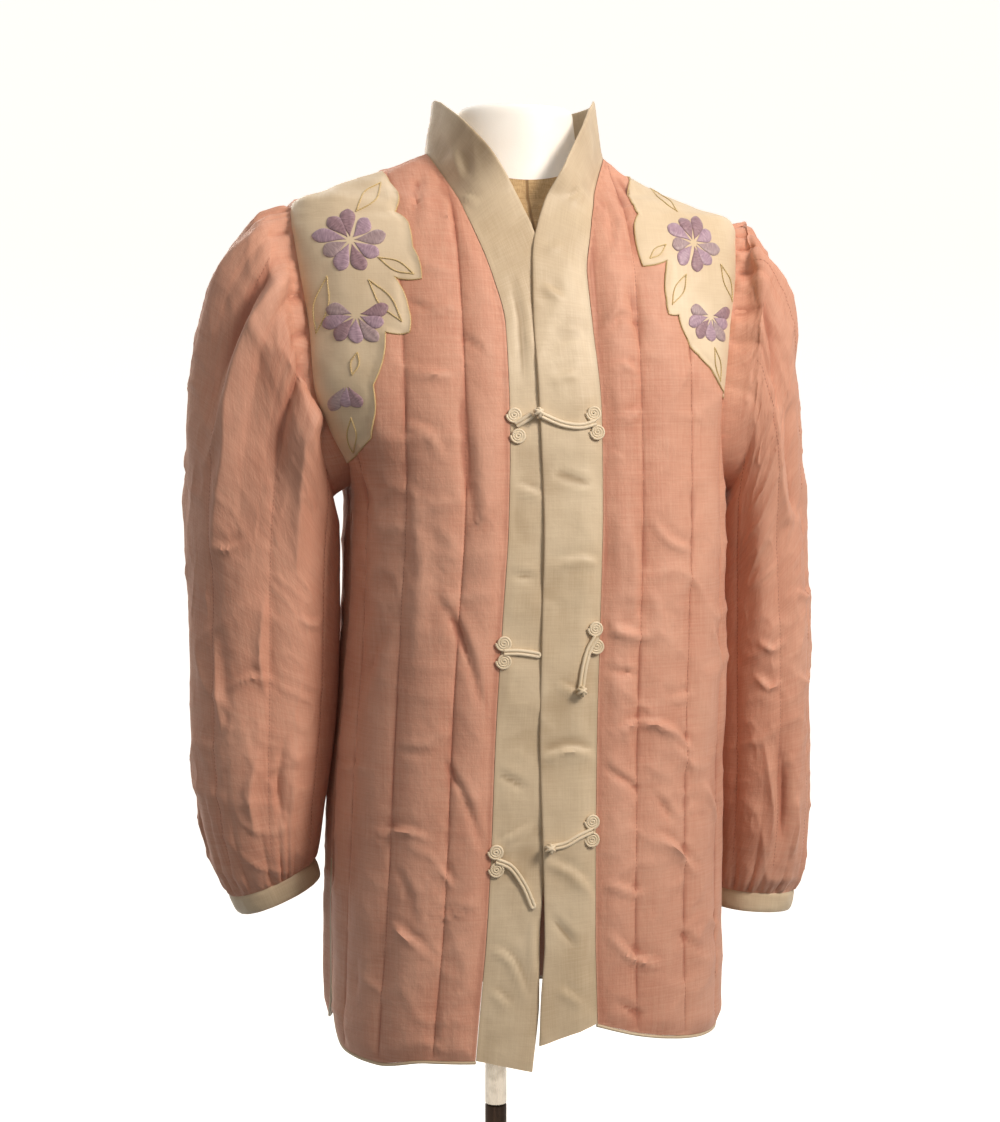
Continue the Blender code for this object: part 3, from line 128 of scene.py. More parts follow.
# Dress form and stand
FORM_AROUND = 128
TURNED_AROUND = 96
FORM_REST_GAP = 0.0007
FORM_EASE = 0.0035
FORM_POWER = 2.3
FORM_SHOULDER = 0.690
FORM_SHOULDER_RINGS = 7
SHOULDER_HOLLOW = 1.5
RIDGE_HOLD = 60
NECK_RING_HEIGHT = 0.752
NECK_FRONT_DROP = 0.030
NECK_BACK_RISE = 0.004
NECK_TOP = 0.786
POLE_PLACE = 0.0
POLE_RADIUS = 0.0095
POLE_CHAMFER = 0.001
POLE_JOINT_HEIGHT = 0.560
BASE_RADIUS = 0.165
BASE_THICKNESS = 0.014
BASE_FALL = 0.003
BASE_ROUND = 0.004
HUB_RADIUS = 0.024
HUB_HEIGHT = 0.030
HUB_FILLET = 0.006

# Rings of the dress form; rest goes from 0, its own torso, to 1, close under the jacket:
# height, half, front, back, rest
FORM_SECTIONS = (
    (0.165, 0.122, 0.088, 0.084, 0.0),
    (0.200, 0.128, 0.093, 0.089, 0.0),
    (0.260, 0.127, 0.092, 0.089, 0.0),
    (0.330, 0.118, 0.084, 0.082, 0.0),
    (0.385, 0.113, 0.081, 0.079, 0.0),
    (0.440, 0.121, 0.090, 0.084, 0.0),
    (0.500, 0.134, 0.104, 0.091, 0.0),
    (0.550, 0.143, 0.106, 0.096, 0.0),
    (0.600, 0.151, 0.094, 0.098, 0.1),
    (0.640, 0.162, 0.080, 0.095, 0.4),
    (0.670, 0.176, 0.066, 0.090, 0.8),
    (0.690, 0.180, 0.060, 0.085, 1.0),
)

# Rings of the neck block: share of its height, half, front, back
NECK_SECTIONS = (
    (0.000, 0.0560, 0.0450, 0.0420),
    (0.300, 0.0520, 0.0420, 0.0400),
    (0.700, 0.0500, 0.0410, 0.0390),
    (0.920, 0.0485, 0.0400, 0.0380),
    (1.000, 0.0440, 0.0360, 0.0340),
)

# Rings of the body's inside: height, half_right, half_left, front, back, power
SECTIONS = (
    (-0.030, 0.1600, 0.1705, 0.133, 0.126, 2.8),
    (0.080, 0.1605, 0.1710, 0.133, 0.126, 2.8),
    (0.160, 0.1590, 0.1720, 0.133, 0.125, 2.8),
    (0.240, 0.1540, 0.1730, 0.132, 0.123, 2.8),
    (0.300, 0.1480, 0.1735, 0.131, 0.121, 2.8),
    (0.380, 0.1430, 0.1720, 0.129, 0.118, 2.9),
    (0.450, 0.1410, 0.1705, 0.127, 0.116, 3.0),
    (0.480, 0.1490, 0.1700, 0.125, 0.117, 3.0),
    (0.515, 0.1720, 0.1710, 0.122, 0.118, 3.0),
    (0.550, 0.1880, 0.1740, 0.118, 0.119, 3.0),
    (0.600, 0.1925, 0.1820, 0.107, 0.117, 2.8),
    (0.650, 0.1950, 0.1880, 0.091, 0.108, 2.7),
    (0.680, 0.1955, 0.1890, 0.076, 0.099, 2.5),
    (0.690, 0.1940, 0.1860, 0.068, 0.095, 2.4),
    (0.700, 0.1880, 0.1550, 0.060, 0.090, 2.4),
    (0.710, 0.1640, 0.1290, 0.048, 0.083, 2.3),
    (0.720, 0.1370, 0.1090, 0.038, 0.075, 2.2),
    (0.730, 0.1090, 0.0925, 0.029, 0.067, 2.1),
    (0.738, 0.0910, 0.0845, 0.021, 0.060, 2.0),
    (0.745, 0.0765, 0.0765, 0.012, 0.052, 2.0),
)

# seam_z, seam_x, free_z, free_x, free_y, stand (0 lies on the body, 1 stands free of it)
BAND_RIGHT = (
    (0.002, -0.0610, -0.009, -0.0150, -0.135, 0.0),
    (0.050, -0.0570, 0.050, -0.0090, -0.135, 0.0),
    (0.100, -0.0525, 0.100, -0.0085, -0.135, 0.0),
    (0.160, -0.0490, 0.160, -0.0045, -0.135, 0.0),
    (0.267, -0.0445, 0.267, 0.0020, -0.135, 0.0),
    (0.360, -0.0385, 0.360, 0.0090, -0.132, 0.0),
    (0.442, -0.0330, 0.442, 0.0140, -0.130, 0.0),
    (0.525, -0.0310, 0.528, 0.0160, -0.126, 0.0),
    (0.598, -0.0315, 0.612, 0.0130, -0.113, 0.0),
    (0.640, -0.0400, 0.662, 0.0020, -0.096, 0.3),
    (0.682, -0.0535, 0.712, -0.0160, -0.081, 0.8),
    (0.712, -0.0630, 0.744, -0.0350, -0.067, 1.0),
    (0.732, -0.0715, 0.770, -0.0535, -0.045, 1.0),
    (0.745, -0.0765, 0.789, -0.0650, -0.008, 1.0),
)
BAND_LEFT = (
    (0.0275, 0.0400, 0.013, -0.0100, -0.138, 0.0),
    (0.060, 0.0390, 0.052, -0.0085, -0.138, 0.0),
    (0.100, 0.0380, 0.098, -0.0055, -0.138, 0.0),
    (0.160, 0.0380, 0.160, -0.0065, -0.138, 0.0),
    (0.265, 0.0390, 0.265, -0.0090, -0.138, 0.0),
    (0.360, 0.0420, 0.360, -0.0070, -0.136, 0.0),
    (0.442, 0.0445, 0.442, -0.0050, -0.134, 0.0),
    (0.525, 0.0450, 0.525, -0.0070, -0.130, 0.0),
    (0.600, 0.0405, 0.600, -0.0090, -0.118, 0.0),
    (0.640, 0.0390, 0.652, -0.0065, -0.106, 0.1),
    (0.674, 0.0455, 0.695, 0.0060, -0.090, 0.6),
    (0.706, 0.0560, 0.735, 0.0270, -0.071, 1.0),
    (0.730, 0.0680, 0.768, 0.0480, -0.046, 1.0),
    (0.745, 0.0765, 0.794, 0.0660, -0.008, 1.0),
)

# The hem of each front, from its band to its side vent: share of the way, height
HEM_RIGHT = ((0.0, 0.002), (0.30, 0.002), (0.65, -0.005), (1.0, -0.005))
HEM_LEFT = ((0.0, 0.0275), (0.22, 0.0165), (0.42, 0.0095), (0.70, 0.003), (1.0, 0.000))

# Rings of each sleeve's head: step out of the armhole's edge, own share, channel, gather
SLEEVE_HEAD = (
    (0.000, 1.0, 0.0, 0.0),
    (0.004, 1.0, 0.0, 0.5),
    (0.013, 1.0, 0.0, 1.0),
    (0.024, 0.5, 0.2, 1.0),
)
# outer_x, outer_z, inner_x, inner_z, middle_y, half_depth, channel, gather
SLEEVE_RIGHT = (
    (0.2225, 0.687, 0.1630, 0.452, 0.006, 0.078, 0.2, 0.9),
    (0.2410, 0.664, 0.1590, 0.441, 0.008, 0.081, 0.4, 0.7),
    (0.2560, 0.625, 0.1560, 0.425, 0.012, 0.080, 0.8, 0.4),
    (0.2680, 0.570, 0.1555, 0.400, 0.016, 0.076, 1.0, 0.1),
    (0.2760, 0.505, 0.1555, 0.370, 0.018, 0.072, 1.0, 0.0),
    (0.2790, 0.435, 0.1560, 0.335, 0.019, 0.069, 1.0, 0.0),
    (0.2780, 0.365, 0.1570, 0.300, 0.020, 0.067, 1.0, 0.0),
    (0.2770, 0.295, 0.1600, 0.260, 0.020, 0.066, 1.0, 0.0),
    (0.2745, 0.230, 0.1650, 0.220, 0.020, 0.066, 0.9, 0.1),
    (0.2690, 0.180, 0.1690, 0.190, 0.020, 0.063, 0.6, 0.4),
    (0.2620, 0.148, 0.1710, 0.168, 0.020, 0.057, 0.2, 0.9),
    (0.2530, 0.126, 0.1740, 0.152, 0.020, 0.047, 0.0, 0.9),
    (0.2475, 0.1155, 0.1765, 0.1455, 0.020, 0.040, 0.0, 0.3),
)
SLEEVE_LEFT = (
    (0.2060, 0.693, 0.1900, 0.452, 0.014, 0.084, 0.2, 0.9),
    (0.2190, 0.670, 0.1875, 0.441, 0.020, 0.087, 0.4, 0.7),
    (0.2335, 0.630, 0.1840, 0.425, 0.026, 0.087, 0.8, 0.4),
    (0.2475, 0.567, 0.1830, 0.400, 0.030, 0.084, 1.0, 0.1),
    (0.2580, 0.495, 0.1835, 0.370, 0.033, 0.080, 1.0, 0.0),
    (0.2650, 0.425, 0.1845, 0.335, 0.035, 0.077, 1.0, 0.0),
    (0.2700, 0.355, 0.1855, 0.300, 0.036, 0.076, 1.0, 0.0),
    (0.2725, 0.280, 0.1865, 0.255, 0.036, 0.075, 1.0, 0.0),
    (0.2735, 0.210, 0.1870, 0.205, 0.036, 0.073, 0.9, 0.1),
    (0.2740, 0.160, 0.1870, 0.165, 0.036, 0.068, 0.6, 0.4),
    (0.2730, 0.128, 0.1875, 0.135, 0.036, 0.060, 0.2, 0.9),
    (0.2700, 0.105, 0.1885, 0.111, 0.036, 0.049, 0.0, 0.9),
    (0.2665, 0.0950, 0.1900, 0.1010, 0.036, 0.042, 0.0, 0.3),
)

# The free edge of each applique, from the shoulder seam to the armhole: distance, height
APPLIQUE_RIGHT = (
    (0.1215, 0.7285),
    (0.1130, 0.7170),
    (0.1140, 0.6900),
    (0.1030, 0.6600),
    (0.0976, 0.6345),
    (0.1190, 0.6370),
    (0.1090, 0.6110),
    (0.1090, 0.5920),
    (0.1270, 0.5920),
    (0.1370, 0.5500),
    (0.1370, 0.5100),
    (0.1365, 0.4800),
)
APPLIQUE_LEFT = (
    (0.1030, 0.7290),
    (0.0900, 0.6900),
    (0.0870, 0.6470),
    (0.1080, 0.6520),
    (0.1060, 0.6080),
    (0.1150, 0.6080),
    (0.1220, 0.5900),
    (0.1430, 0.5650),
    (0.1500, 0.5400),
)

# Flowers of the embroidery in mm, each an ordinary fan of petals: heart x, z; direction of the
# first petal and the turn to the next, in degrees from straight up; petals; length; half width
FLOWERS = {
    RIGHT: (
        (-150, 666, 0, 40, 9, 26, 4.8),
        (-148, 606, 75, 35, 7, 25, 4.5),
        (-156, 552, 150, 27, 3, 21, 4.0),
    ),
    LEFT: (
        (136, 668, 20, 40, 9, 24, 4.6),
        (146, 608, 75, 35, 7, 23, 4.3),
    ),
}
PETAL_THREADS = ("mauve", "lilac", "pale", "lilac")
PETAL_LENGTHS = (1.0, 0.86, 1.06, 0.92, 1.0)
HEART_RADIUS = 3.0

# Leaves of the embroidery in mm: root, tip, and how far each side swells
LEAVES = {
    RIGHT: (
        ((-144, 690), (-120, 714), 5),
        ((-130, 652), (-103, 638), 4),
        ((-138, 634), (-114, 600), 5),
        ((-168, 638), (-176, 592), 5),
        ((-148, 576), (-152, 558), 3),
        ((-152, 526), (-148, 498), 3),
    ),
    LEFT: (
        ((128, 694), (114, 716), 4),
        ((110, 666), (94, 654), 3),
        ((126, 642), (110, 616), 4),
        ((160, 652), (172, 622), 4),
        ((148, 582), (155, 554), 3),
    ),
}

# Creases in mm: half width, height (a trough where negative), then the route's x, z points
FRONT_CREASES = {
    RIGHT: (
        (3.0, 1.6, (-45, 460), (-65, 430)),
        (3.6, -1.8, (-90, 385), (-70, 345), (-55, 290)),
        (2.6, 1.3, (-80, 275), (-100, 260), (-120, 260)),
        (3.0, -1.5, (-85, 250), (-70, 220), (-55, 175)),
        (2.4, 1.6, (-135, 185), (-115, 190), (-95, 185)),
        (2.6, 1.2, (-90, 165), (-80, 145)),
        (2.4, 1.5, (-90, 120), (-75, 125), (-55, 145)),
        (2.8, 1.5, (-125, 115), (-100, 90)),
        (3.0, -1.6, (-145, 85), (-150, 40)),
        (2.6, 1.3, (-155, 230), (-135, 240)),
        (4.2, -1.5, (-125, 355), (-140, 300)),
        (3.0, -1.8, (-85, 730), (-95, 700), (-100, 675)),
        (3.0, 1.2, (-70, 700), (-75, 665)),
        (2.6, 1.2, (-95, 645), (-70, 640)),
        (2.6, -1.1, (-110, 615), (-90, 610)),
        (2.8, 1.2, (-95, 605), (-70, 615)),
        (3.0, 1.1, (-105, 560), (-75, 555)),
        (2.6, -1.2, (-70, 590), (-50, 575)),
        (5.0, -1.6, (-70, 540), (-65, 485), (-60, 430)),
        (5.5, 1.6, (-105, 470), (-100, 400), (-105, 330)),
        (3.0, 1.2, (-115, 520), (-95, 510), (-85, 490)),
        (2.6, 1.1, (-70, 60), (-85, 40), (-90, 20)),
        (3.0, -1.2, (-120, 160), (-110, 135), (-110, 120)),
    ),
    LEFT: (
        (2.8, 1.5, (45, 350), (60, 350), (80, 345)),
        (2.6, -1.4, (45, 320), (75, 315)),
        (2.4, 1.3, (100, 290), (125, 295)),
        (3.0, 2.0, (50, 265), (75, 275), (105, 265), (125, 245)),
        (2.8, -1.5, (45, 240), (75, 220)),
        (2.8, -1.5, (90, 215), (105, 190)),
        (3.0, 2.0, (90, 180), (110, 165), (130, 140)),
        (2.8, 1.6, (45, 145), (80, 130)),
        (3.0, 2.0, (45, 105), (70, 80), (95, 70)),
        (2.6, -1.4, (55, 45), (80, 30)),
        (3.2, 1.6, (135, 220), (155, 180)),
        (3.0, 1.5, (55, 560), (65, 565), (75, 560)),
        (3.0, -1.4, (50, 590), (65, 605), (80, 600)),
        (3.0, 1.6, (60, 520), (80, 530)),
        (3.4, -1.6, (60, 710), (65, 685), (60, 660)),
        (3.0, -1.7, (85, 730), (90, 705)),
        (3.0, 1.2, (75, 690), (80, 640)),
        (4.0, -1.4, (50, 445), (45, 400)),
        (2.6, 1.2, (50, 490), (60, 495)),
        (3.4, 1.3, (85, 440), (105, 420), (125, 415)),
        (5.0, -1.6, (70, 640), (75, 615), (80, 580)),
        (6.0, 1.6, (65, 440), (70, 400), (65, 360)),
        (3.0, 1.4, (140, 355), (150, 330), (155, 300)),
        (2.6, -1.2, (110, 100), (135, 75)),
        (2.6, 1.2, (140, 105), (160, 85)),
    ),
}
BACK_CREASES = (
    (3.4, 1.8, (-128, 250), (-96, 262), (-60, 246)),
    (3.0, -1.6, (-120, 214), (-86, 196)),
    (3.2, 1.7, (-60, 176), (-24, 152), (6, 128)),
    (3.0, 1.6, (30, 268), (66, 256), (98, 262)),
    (3.2, -1.6, (40, 232), (84, 206)),
    (3.0, 1.8, (96, 168), (124, 140)),
    (3.0, 1.4, (-140, 120), (-112, 96)),
    (3.4, -1.5, (-20, 90), (24, 62)),
    (3.0, 1.5, (54, 112), (88, 88)),
    (5.0, -1.8, (-112, 560), (-100, 500), (-104, 440)),
    (5.0, -1.8, (112, 548), (98, 488), (100, 430)),
    (3.2, 1.5, (-84, 640), (-52, 652), (-18, 646)),
    (3.0, 1.4, (30, 630), (60, 642), (88, 634)),
    (3.4, -1.4, (-46, 560), (-20, 548), (10, 552)),
    (3.0, 1.5, (-70, 420), (-40, 408), (-16, 414)),
    (3.0, 1.4, (20, 392), (52, 380)),
    (3.0, 1.4, (-30, 330), (0, 318)),
)
SLEEVE_CREASES = {
    RIGHT: (
        (
            10.0,
            4.6,
            (-192, 655),
            (-215, 622),
            (-232, 590),
            (-244, 540),
            (-250, 487),
            (-258, 440),
            (-262, 400),
        ),
        (8.0, -4.8, (-208, 650), (-228, 625), (-244, 594), (-256, 558), (-262, 515)),
        (8.5, 4.0, (-200, 688), (-227, 668), (-246, 645), (-261, 600), (-270, 560), (-277, 510), (-279, 470)),
        (8.0, -4.2, (-180, 590), (-196, 556), (-208, 520), (-216, 470)),
        (9.0, 3.4, (-176, 555), (-188, 510), (-194, 460), (-197, 400)),
        (4.0, 2.2, (-245, 550), (-255, 510), (-265, 480)),
        (4.0, 1.8, (-222, 380), (-226, 330), (-222, 296)),
        (3.0, 1.6, (-262, 420), (-250, 416), (-236, 424)),
        (3.2, 1.8, (-262, 352), (-258, 300), (-254, 262)),
        (3.0, 1.4, (-250, 300), (-232, 310), (-214, 306)),
        (5.0, -2.4, (-206, 262), (-212, 220), (-208, 186)),
        (5.0, 2.2, (-228, 250), (-234, 210), (-230, 178)),
        (3.0, 1.5, (-196, 360), (-182, 352), (-170, 360)),
    ),
    LEFT: (
        (8.0, -4.6, (204, 640), (210, 604), (213, 568), (214, 530)),
        (8.0, 4.2, (206, 662), (220, 640), (229, 610), (233, 570)),
        (6.5, -3.4, (222, 672), (238, 640), (245, 600), (248, 560)),
        (8.0, 3.6, (206, 560), (212, 520), (220, 470), (233, 430)),
        (7.0, -3.4, (222, 545), (228, 500), (236, 460), (246, 436)),
        (9.0, 3.0, (236, 640), (250, 600), (257, 545), (262, 490)),
        (9.0, -4.0, (188, 520), (194, 440), (196, 360), (196, 300)),
        (3.2, 1.8, (210, 330), (222, 322), (233, 330)),
        (3.2, 1.8, (208, 300), (220, 288), (230, 294)),
        (5.0, 2.6, (216, 244), (222, 206), (226, 170), (224, 136)),
        (5.0, -2.4, (232, 230), (236, 190), (236, 150)),
        (4.0, 2.0, (246, 190), (248, 160), (246, 132)),
        (3.0, 1.6, (240, 372), (254, 366), (264, 372)),
        (3.0, 1.6, (242, 300), (256, 290), (266, 296)),
    ),
}
SLEEVE_BACK_CREASES = {
    RIGHT: (
        (9.0, 4.2, (-198, 650), (-222, 612), (-238, 556), (-246, 500), (-250, 430)),
        (8.0, -4.2, (-186, 620), (-204, 570), (-214, 510), (-218, 450)),
        (8.0, 3.4, (-178, 560), (-190, 500), (-196, 440)),
        (8.0, -3.6, (-216, 664), (-244, 620), (-258, 560), (-266, 500)),
        (4.0, 1.8, (-240, 400), (-222, 386), (-206, 392)),
        (4.0, 1.8, (-230, 330), (-212, 322), (-196, 330)),
        (5.0, 2.4, (-222, 250), (-226, 210), (-222, 176)),
        (5.0, -2.4, (-240, 240), (-240, 200), (-236, 170)),
    ),
    LEFT: (
        (9.0, 4.2, (204, 650), (222, 606), (234, 550), (240, 480)),
        (8.0, -4.2, (220, 660), (240, 610), (250, 550), (256, 490)),
        (8.0, 3.4, (196, 560), (204, 500), (208, 430)),
        (8.0, -3.6, (206, 600), (216, 540), (222, 480)),
        (4.0, 1.8, (212, 380), (230, 370), (246, 378)),
        (4.0, 1.8, (206, 310), (224, 300), (238, 308)),
        (5.0, 2.4, (222, 240), (228, 200), (226, 160)),
        (5.0, -2.4, (240, 230), (244, 190), (242, 150)),
    ),
}
BAND_CREASES = {
    RIGHT: (
        (2.6, 1.0, (-50, 95), (-35, 85), (-20, 50)),
        (2.6, 0.9, (-15, 120), (-15, 70)),
        (3.0, -0.8, (-45, 240), (-20, 225)),
        (3.0, 0.8, (-40, 180), (-15, 195)),
        (2.6, 0.9, (-60, 745), (-55, 720)),
        (3.0, 0.9, (-60, 705), (-45, 700)),
        (3.4, -0.9, (-25, 640), (-20, 600), (-20, 550)),
        (3.0, 0.7, (-30, 470), (-5, 460)),
        (3.0, -0.7, (-35, 400), (-10, 395)),
        (3.0, 0.8, (-50, 60), (-35, 45)),
    ),
    LEFT: (
        (3.0, 1.2, (0, 630), (15, 620)),
        (2.6, 1.0, (5, 660), (20, 665)),
        (2.6, 1.0, (5, 555), (25, 560)),
        (3.2, 1.2, (-5, 250), (15, 255), (35, 250)),
        (3.2, 1.2, (-5, 165), (15, 155), (35, 135)),
        (3.0, -0.9, (0, 120), (20, 95)),
        (3.0, -0.8, (5, 480), (35, 470)),
        (2.6, 0.9, (0, 405), (25, 410), (40, 405)),
        (2.6, 0.9, (5, 310), (30, 295)),
        (2.6, 0.9, (5, 60), (25, 45)),
        (3.0, 0.9, (30, 700), (45, 710)),
    ),
}

# Each half of a frog: its node, its band, its discs, the route of its doubled cord, how far the
# cord's last point stands off the cloth, and whether it ends in a knot
FROGS = (
    (
        "frog_top_right",
        RIGHT,
        ((-0.0280, 0.5265), (-0.0250, 0.5100)),
        ((-0.0265, 0.5180), (-0.0220, 0.5210), (-0.0155, 0.5250)),
        0.0030,
        False,
    ),
    (
        "frog_top_left",
        LEFT,
        ((0.0370, 0.5275), (0.0400, 0.5125)),
        ((0.0385, 0.5200), (0.0260, 0.5170), (0.0120, 0.5185), (0.0000, 0.5230), (-0.0075, 0.5265)),
        0.0,
        True,
    ),
    (
        "frog_middle_right",
        RIGHT,
        ((-0.0380, 0.3435), (-0.0380, 0.3290)),
        ((-0.0380, 0.3362), (-0.0280, 0.3362), (-0.0180, 0.3350), (-0.0105, 0.3335)),
        0.0,
        False,
    ),
    (
        "frog_middle_left",
        LEFT,
        ((0.0370, 0.3540), (0.0380, 0.3395)),
        ((0.0375, 0.3468), (0.0320, 0.3380), (0.0275, 0.3240), (0.0245, 0.3060)),
        0.0,
        True,
    ),
    (
        "frog_bottom_right",
        RIGHT,
        ((-0.0450, 0.1745), (-0.0445, 0.1600)),
        ((-0.0448, 0.1672), (-0.0350, 0.1630), (-0.0240, 0.1490), (-0.0150, 0.1290)),
        0.0,
        False,
    ),
    (
        "frog_bottom_left",
        LEFT,
        ((0.0340, 0.1965), (0.0340, 0.1820)),
        ((0.0340, 0.1893), (0.0230, 0.1850), (0.0110, 0.1790), (0.0000, 0.1770)),
        0.0,
        True,
    ),
)


def unit(vectors):
    return vectors / np.linalg.norm(vectors, axis=-1, keepdims=True)


def smoothstep(share):
    share = np.clip(share, 0.0, 1.0)
    return share * share * (3 - 2 * share)


def signed_power(value, power):
    return np.abs(value) ** power * np.where(value >= 0, 1.0, -1.0)


def curve_rows(keys, rows, x):
    """Rows read at each x along a monotone cubic, which never swings past the table's values."""
    keys, rows = np.asarray(keys, float), np.asarray(rows, float)
    steps = np.diff(keys)[:, None]
    slopes = np.diff(rows, axis=0) / steps
    before, after, low, high = slopes[:-1], slopes[1:], steps[:-1], steps[1:]
    same = before * after > 0
    near, far = 2 * high + low, high + 2 * low
    mean = (near + far) / (near / np.where(same, before, 1.0) + far / np.where(same, after, 1.0))
    tangents = np.vstack([slopes[:1], np.where(same, mean, 0.0), slopes[-1:]])
    x = np.clip(np.atleast_1d(x), keys[0], keys[-1])
    i = np.clip(np.searchsorted(keys, x, side="right") - 1, 0, len(keys) - 2)
    step = steps[i]
    t = ((x - keys[i]) / step[:, 0])[:, None]
    return (
        (1 + 2 * t) * (1 - t) ** 2 * rows[i]
        + t * (1 - t) ** 2 * step * tangents[i]
        + t * t * (3 - 2 * t) * rows[i + 1]
        + t * t * (t - 1) * step * tangents[i + 1]
    )


def noise(x, y, cell, seed):
    """Smooth value noise from -1 to 1 on a grid of cells."""
    u, v = x / cell, y / cell
    column, row = np.floor(u), np.floor(v)
    across, up = smoothstep(u - column), smoothstep(v - row)

    def corner(i, j):
        return (np.sin((column + i) * 127.1 + (row + j) * 311.7 + seed * 74.7) * 43758.5453) % 1.0

    low = corner(0, 0) * (1 - across) + corner(1, 0) * across
    high = corner(0, 1) * (1 - across) + corner(1, 1) * across
    return 2 * (low * (1 - up) + high * up) - 1


def spread(first, last, step):
    count = max(1, int(round(abs(last - first) / step)))
    return np.linspace(first, last, count + 1)


# The body's surface
TABLE_STEP = 0.001
TABLE_HEIGHTS = np.arange(-0.030, NECK_HEIGHT + TABLE_STEP / 2, TABLE_STEP)
TABLE_ROWS = curve_rows([row[0] for row in SECTIONS], [row[1:] for row in SECTIONS], TABLE_HEIGHTS)
TURNS = np.linspace(-0.56 * pi, 0.56 * pi, 449)
ARCS = np.linspace(-0.42, 0.42, 841)


def section(height):
    return [np.interp(height, TABLE_HEIGHTS, TABLE_ROWS[:, k]) for k in range(5)]


def body_point(height, turn):
    """Points of the jacket's inside; turn is 0 at the front and grows to the wearer's left."""
    height, turn = np.broadcast_arrays(np.asarray(height, float), np.asarray(turn, float))
    half_right, half_left, front, back, power = section(height)
    across, ahead = np.sin(turn), np.cos(turn)
    x = np.where(across >= 0, half_left, half_right) * signed_power(across, 2 / power)
    y = -np.where(ahead >= 0, front, back) * signed_power(ahead, 2 / power)
    return np.stack([x, y, height], axis=-1)


def body_normal(height, turn):
    height = np.asarray(height, float)
    low = np.maximum(height - 0.0005, TABLE_HEIGHTS[0])
    high = np.minimum(height + 0.0005, TABLE_HEIGHTS[-1])
    around = body_point(height, turn + 0.02) - body_point(height, turn - 0.02)
    up = body_point(high, turn) - body_point(low, turn)
    return unit(np.cross(around, up))


def arc_tables(start):
    """Arc lengths by height and turn, and turns by height and arc, from the front or the back."""
    arcs, turns = [], []
    for height in TABLE_HEIGHTS:
        points = body_point(np.full(len(TURNS), height), start + TURNS)
        along = np.concatenate(([0.0], np.cumsum(np.linalg.norm(np.diff(points, axis=0), axis=1))))
        along -= np.interp(0.0, TURNS, along)
        arcs.append(along)
        turns.append(np.interp(ARCS, along, TURNS))
    return np.array(arcs), np.array(turns)


ARC_TABLES = {start: arc_tables(start) for start in (0.0, pi)}


def bilinear(table, height, value, values):
    row = np.clip((height - TABLE_HEIGHTS[0]) / TABLE_STEP, 0, len(TABLE_HEIGHTS) - 1.001)
    column = np.clip((value - values[0]) / (values[1] - values[0]), 0, len(values) - 1.001)
    i, j = row.astype(int), column.astype(int)
    u, v = row - i, column - j
    low = table[i, j] * (1 - v) + table[i, j + 1] * v
    high = table[i + 1, j] * (1 - v) + table[i + 1, j + 1] * v
    return low * (1 - u) + high * u


def arc_of(height, turn, start):
    height, turn = np.broadcast_arrays(np.asarray(height, float), np.asarray(turn, float))
    return bilinear(ARC_TABLES[start][0], height, turn - start, TURNS)


def turn_of(height, arc, start):
    height, arc = np.broadcast_arrays(np.asarray(height, float), np.asarray(arc, float))
    return start + bilinear(ARC_TABLES[start][1], height, arc, ARCS)


def turn_at_x(height, x):
    half_right, half_left, _, _, power = section(height)
    share = np.minimum(np.abs(x) / np.where(x >= 0, half_left, half_right), 1.0)
    return np.arcsin(share ** (power / 2)) * np.where(x >= 0, 1.0, -1.0)


def turn_at_y(height, y, side):
    _, _, front, back, power = section(height)
    share = np.minimum(np.abs(y) / np.where(y <= 0, front, back), 1.0)
    turn = np.arccos(share ** (power / 2))
    return side * np.where(y <= 0, turn, pi - turn)


def flat_height(height):
    """Height along the cloth: the shoulders slope, so a ring's height says too little there."""
    return np.where(height < SLOPE_START, height, SLOPE_START + (height - SLOPE_START) * SLOPE_STRETCH)


def height_of_flat(flat):
    return np.where(flat < SLOPE_START, flat, SLOPE_START + (flat - SLOPE_START) / SLOPE_STRETCH)


def band_at(side, height):
    rows = BAND_RIGHT if side == RIGHT else BAND_LEFT
    return curve_rows([row[0] for row in rows], [row[1:] for row in rows], height).T


def seam_heights(side):
    low = (BAND_RIGHT if side == RIGHT else BAND_LEFT)[0][0]
    lower = spread(low, BAND_BEND, EDGE_STEP)
    upper = spread(BAND_BEND, NECK_HEIGHT, EDGE_STEP * 0.7)
    return np.concatenate([lower, upper[1:]])


def armhole_point(side, angle):
    """Height and turn at an angle round the armhole: 0 the shoulder tip, pi the underarm."""
    middle = (TIP_HEIGHTS[side] + UNDERARM_HEIGHT) / 2
    height = middle + (TIP_HEIGHTS[side] - UNDERARM_HEIGHT) / 2 * np.cos(angle)
    low = (1 - np.cos(angle)) / 2
    reach = ARMHOLE_DEPTH * (ARMHOLE_TOP_SHARE + ARMHOLE_LOW_GAIN * low)
    return height, turn_at_y(height, -reach * signed_power(np.sin(angle), ARMHOLE_ROUND), side)


def side_arc(height, side, start, gap):
    turn = start + (side if start == 0.0 else -side) * pi / 2
    arc = arc_of(height, turn, start)
    return arc - np.sign(arc) * gap / 2


def vent_corner(edge, hem, towards):
    angle = np.linspace(0, pi / 2, 25)
    arc = edge - towards * VENT_RADIUS * (1 - np.sin(angle))
    return np.stack([arc, hem + VENT_RADIUS * (1 - np.cos(angle))], axis=1)


def tidy_outline(parts):
    """One closed outline from its stretches, without points that nearly repeat."""
    points = np.vstack(parts)
    kept = [points[0]]
    for point in points[1:]:
        if np.linalg.norm(point - kept[-1]) > EDGE_STEP * 0.3:
            kept.append(point)
    if np.linalg.norm(kept[-1] - kept[0]) < EDGE_STEP * 0.3:
        kept.pop()
    return np.array(kept)


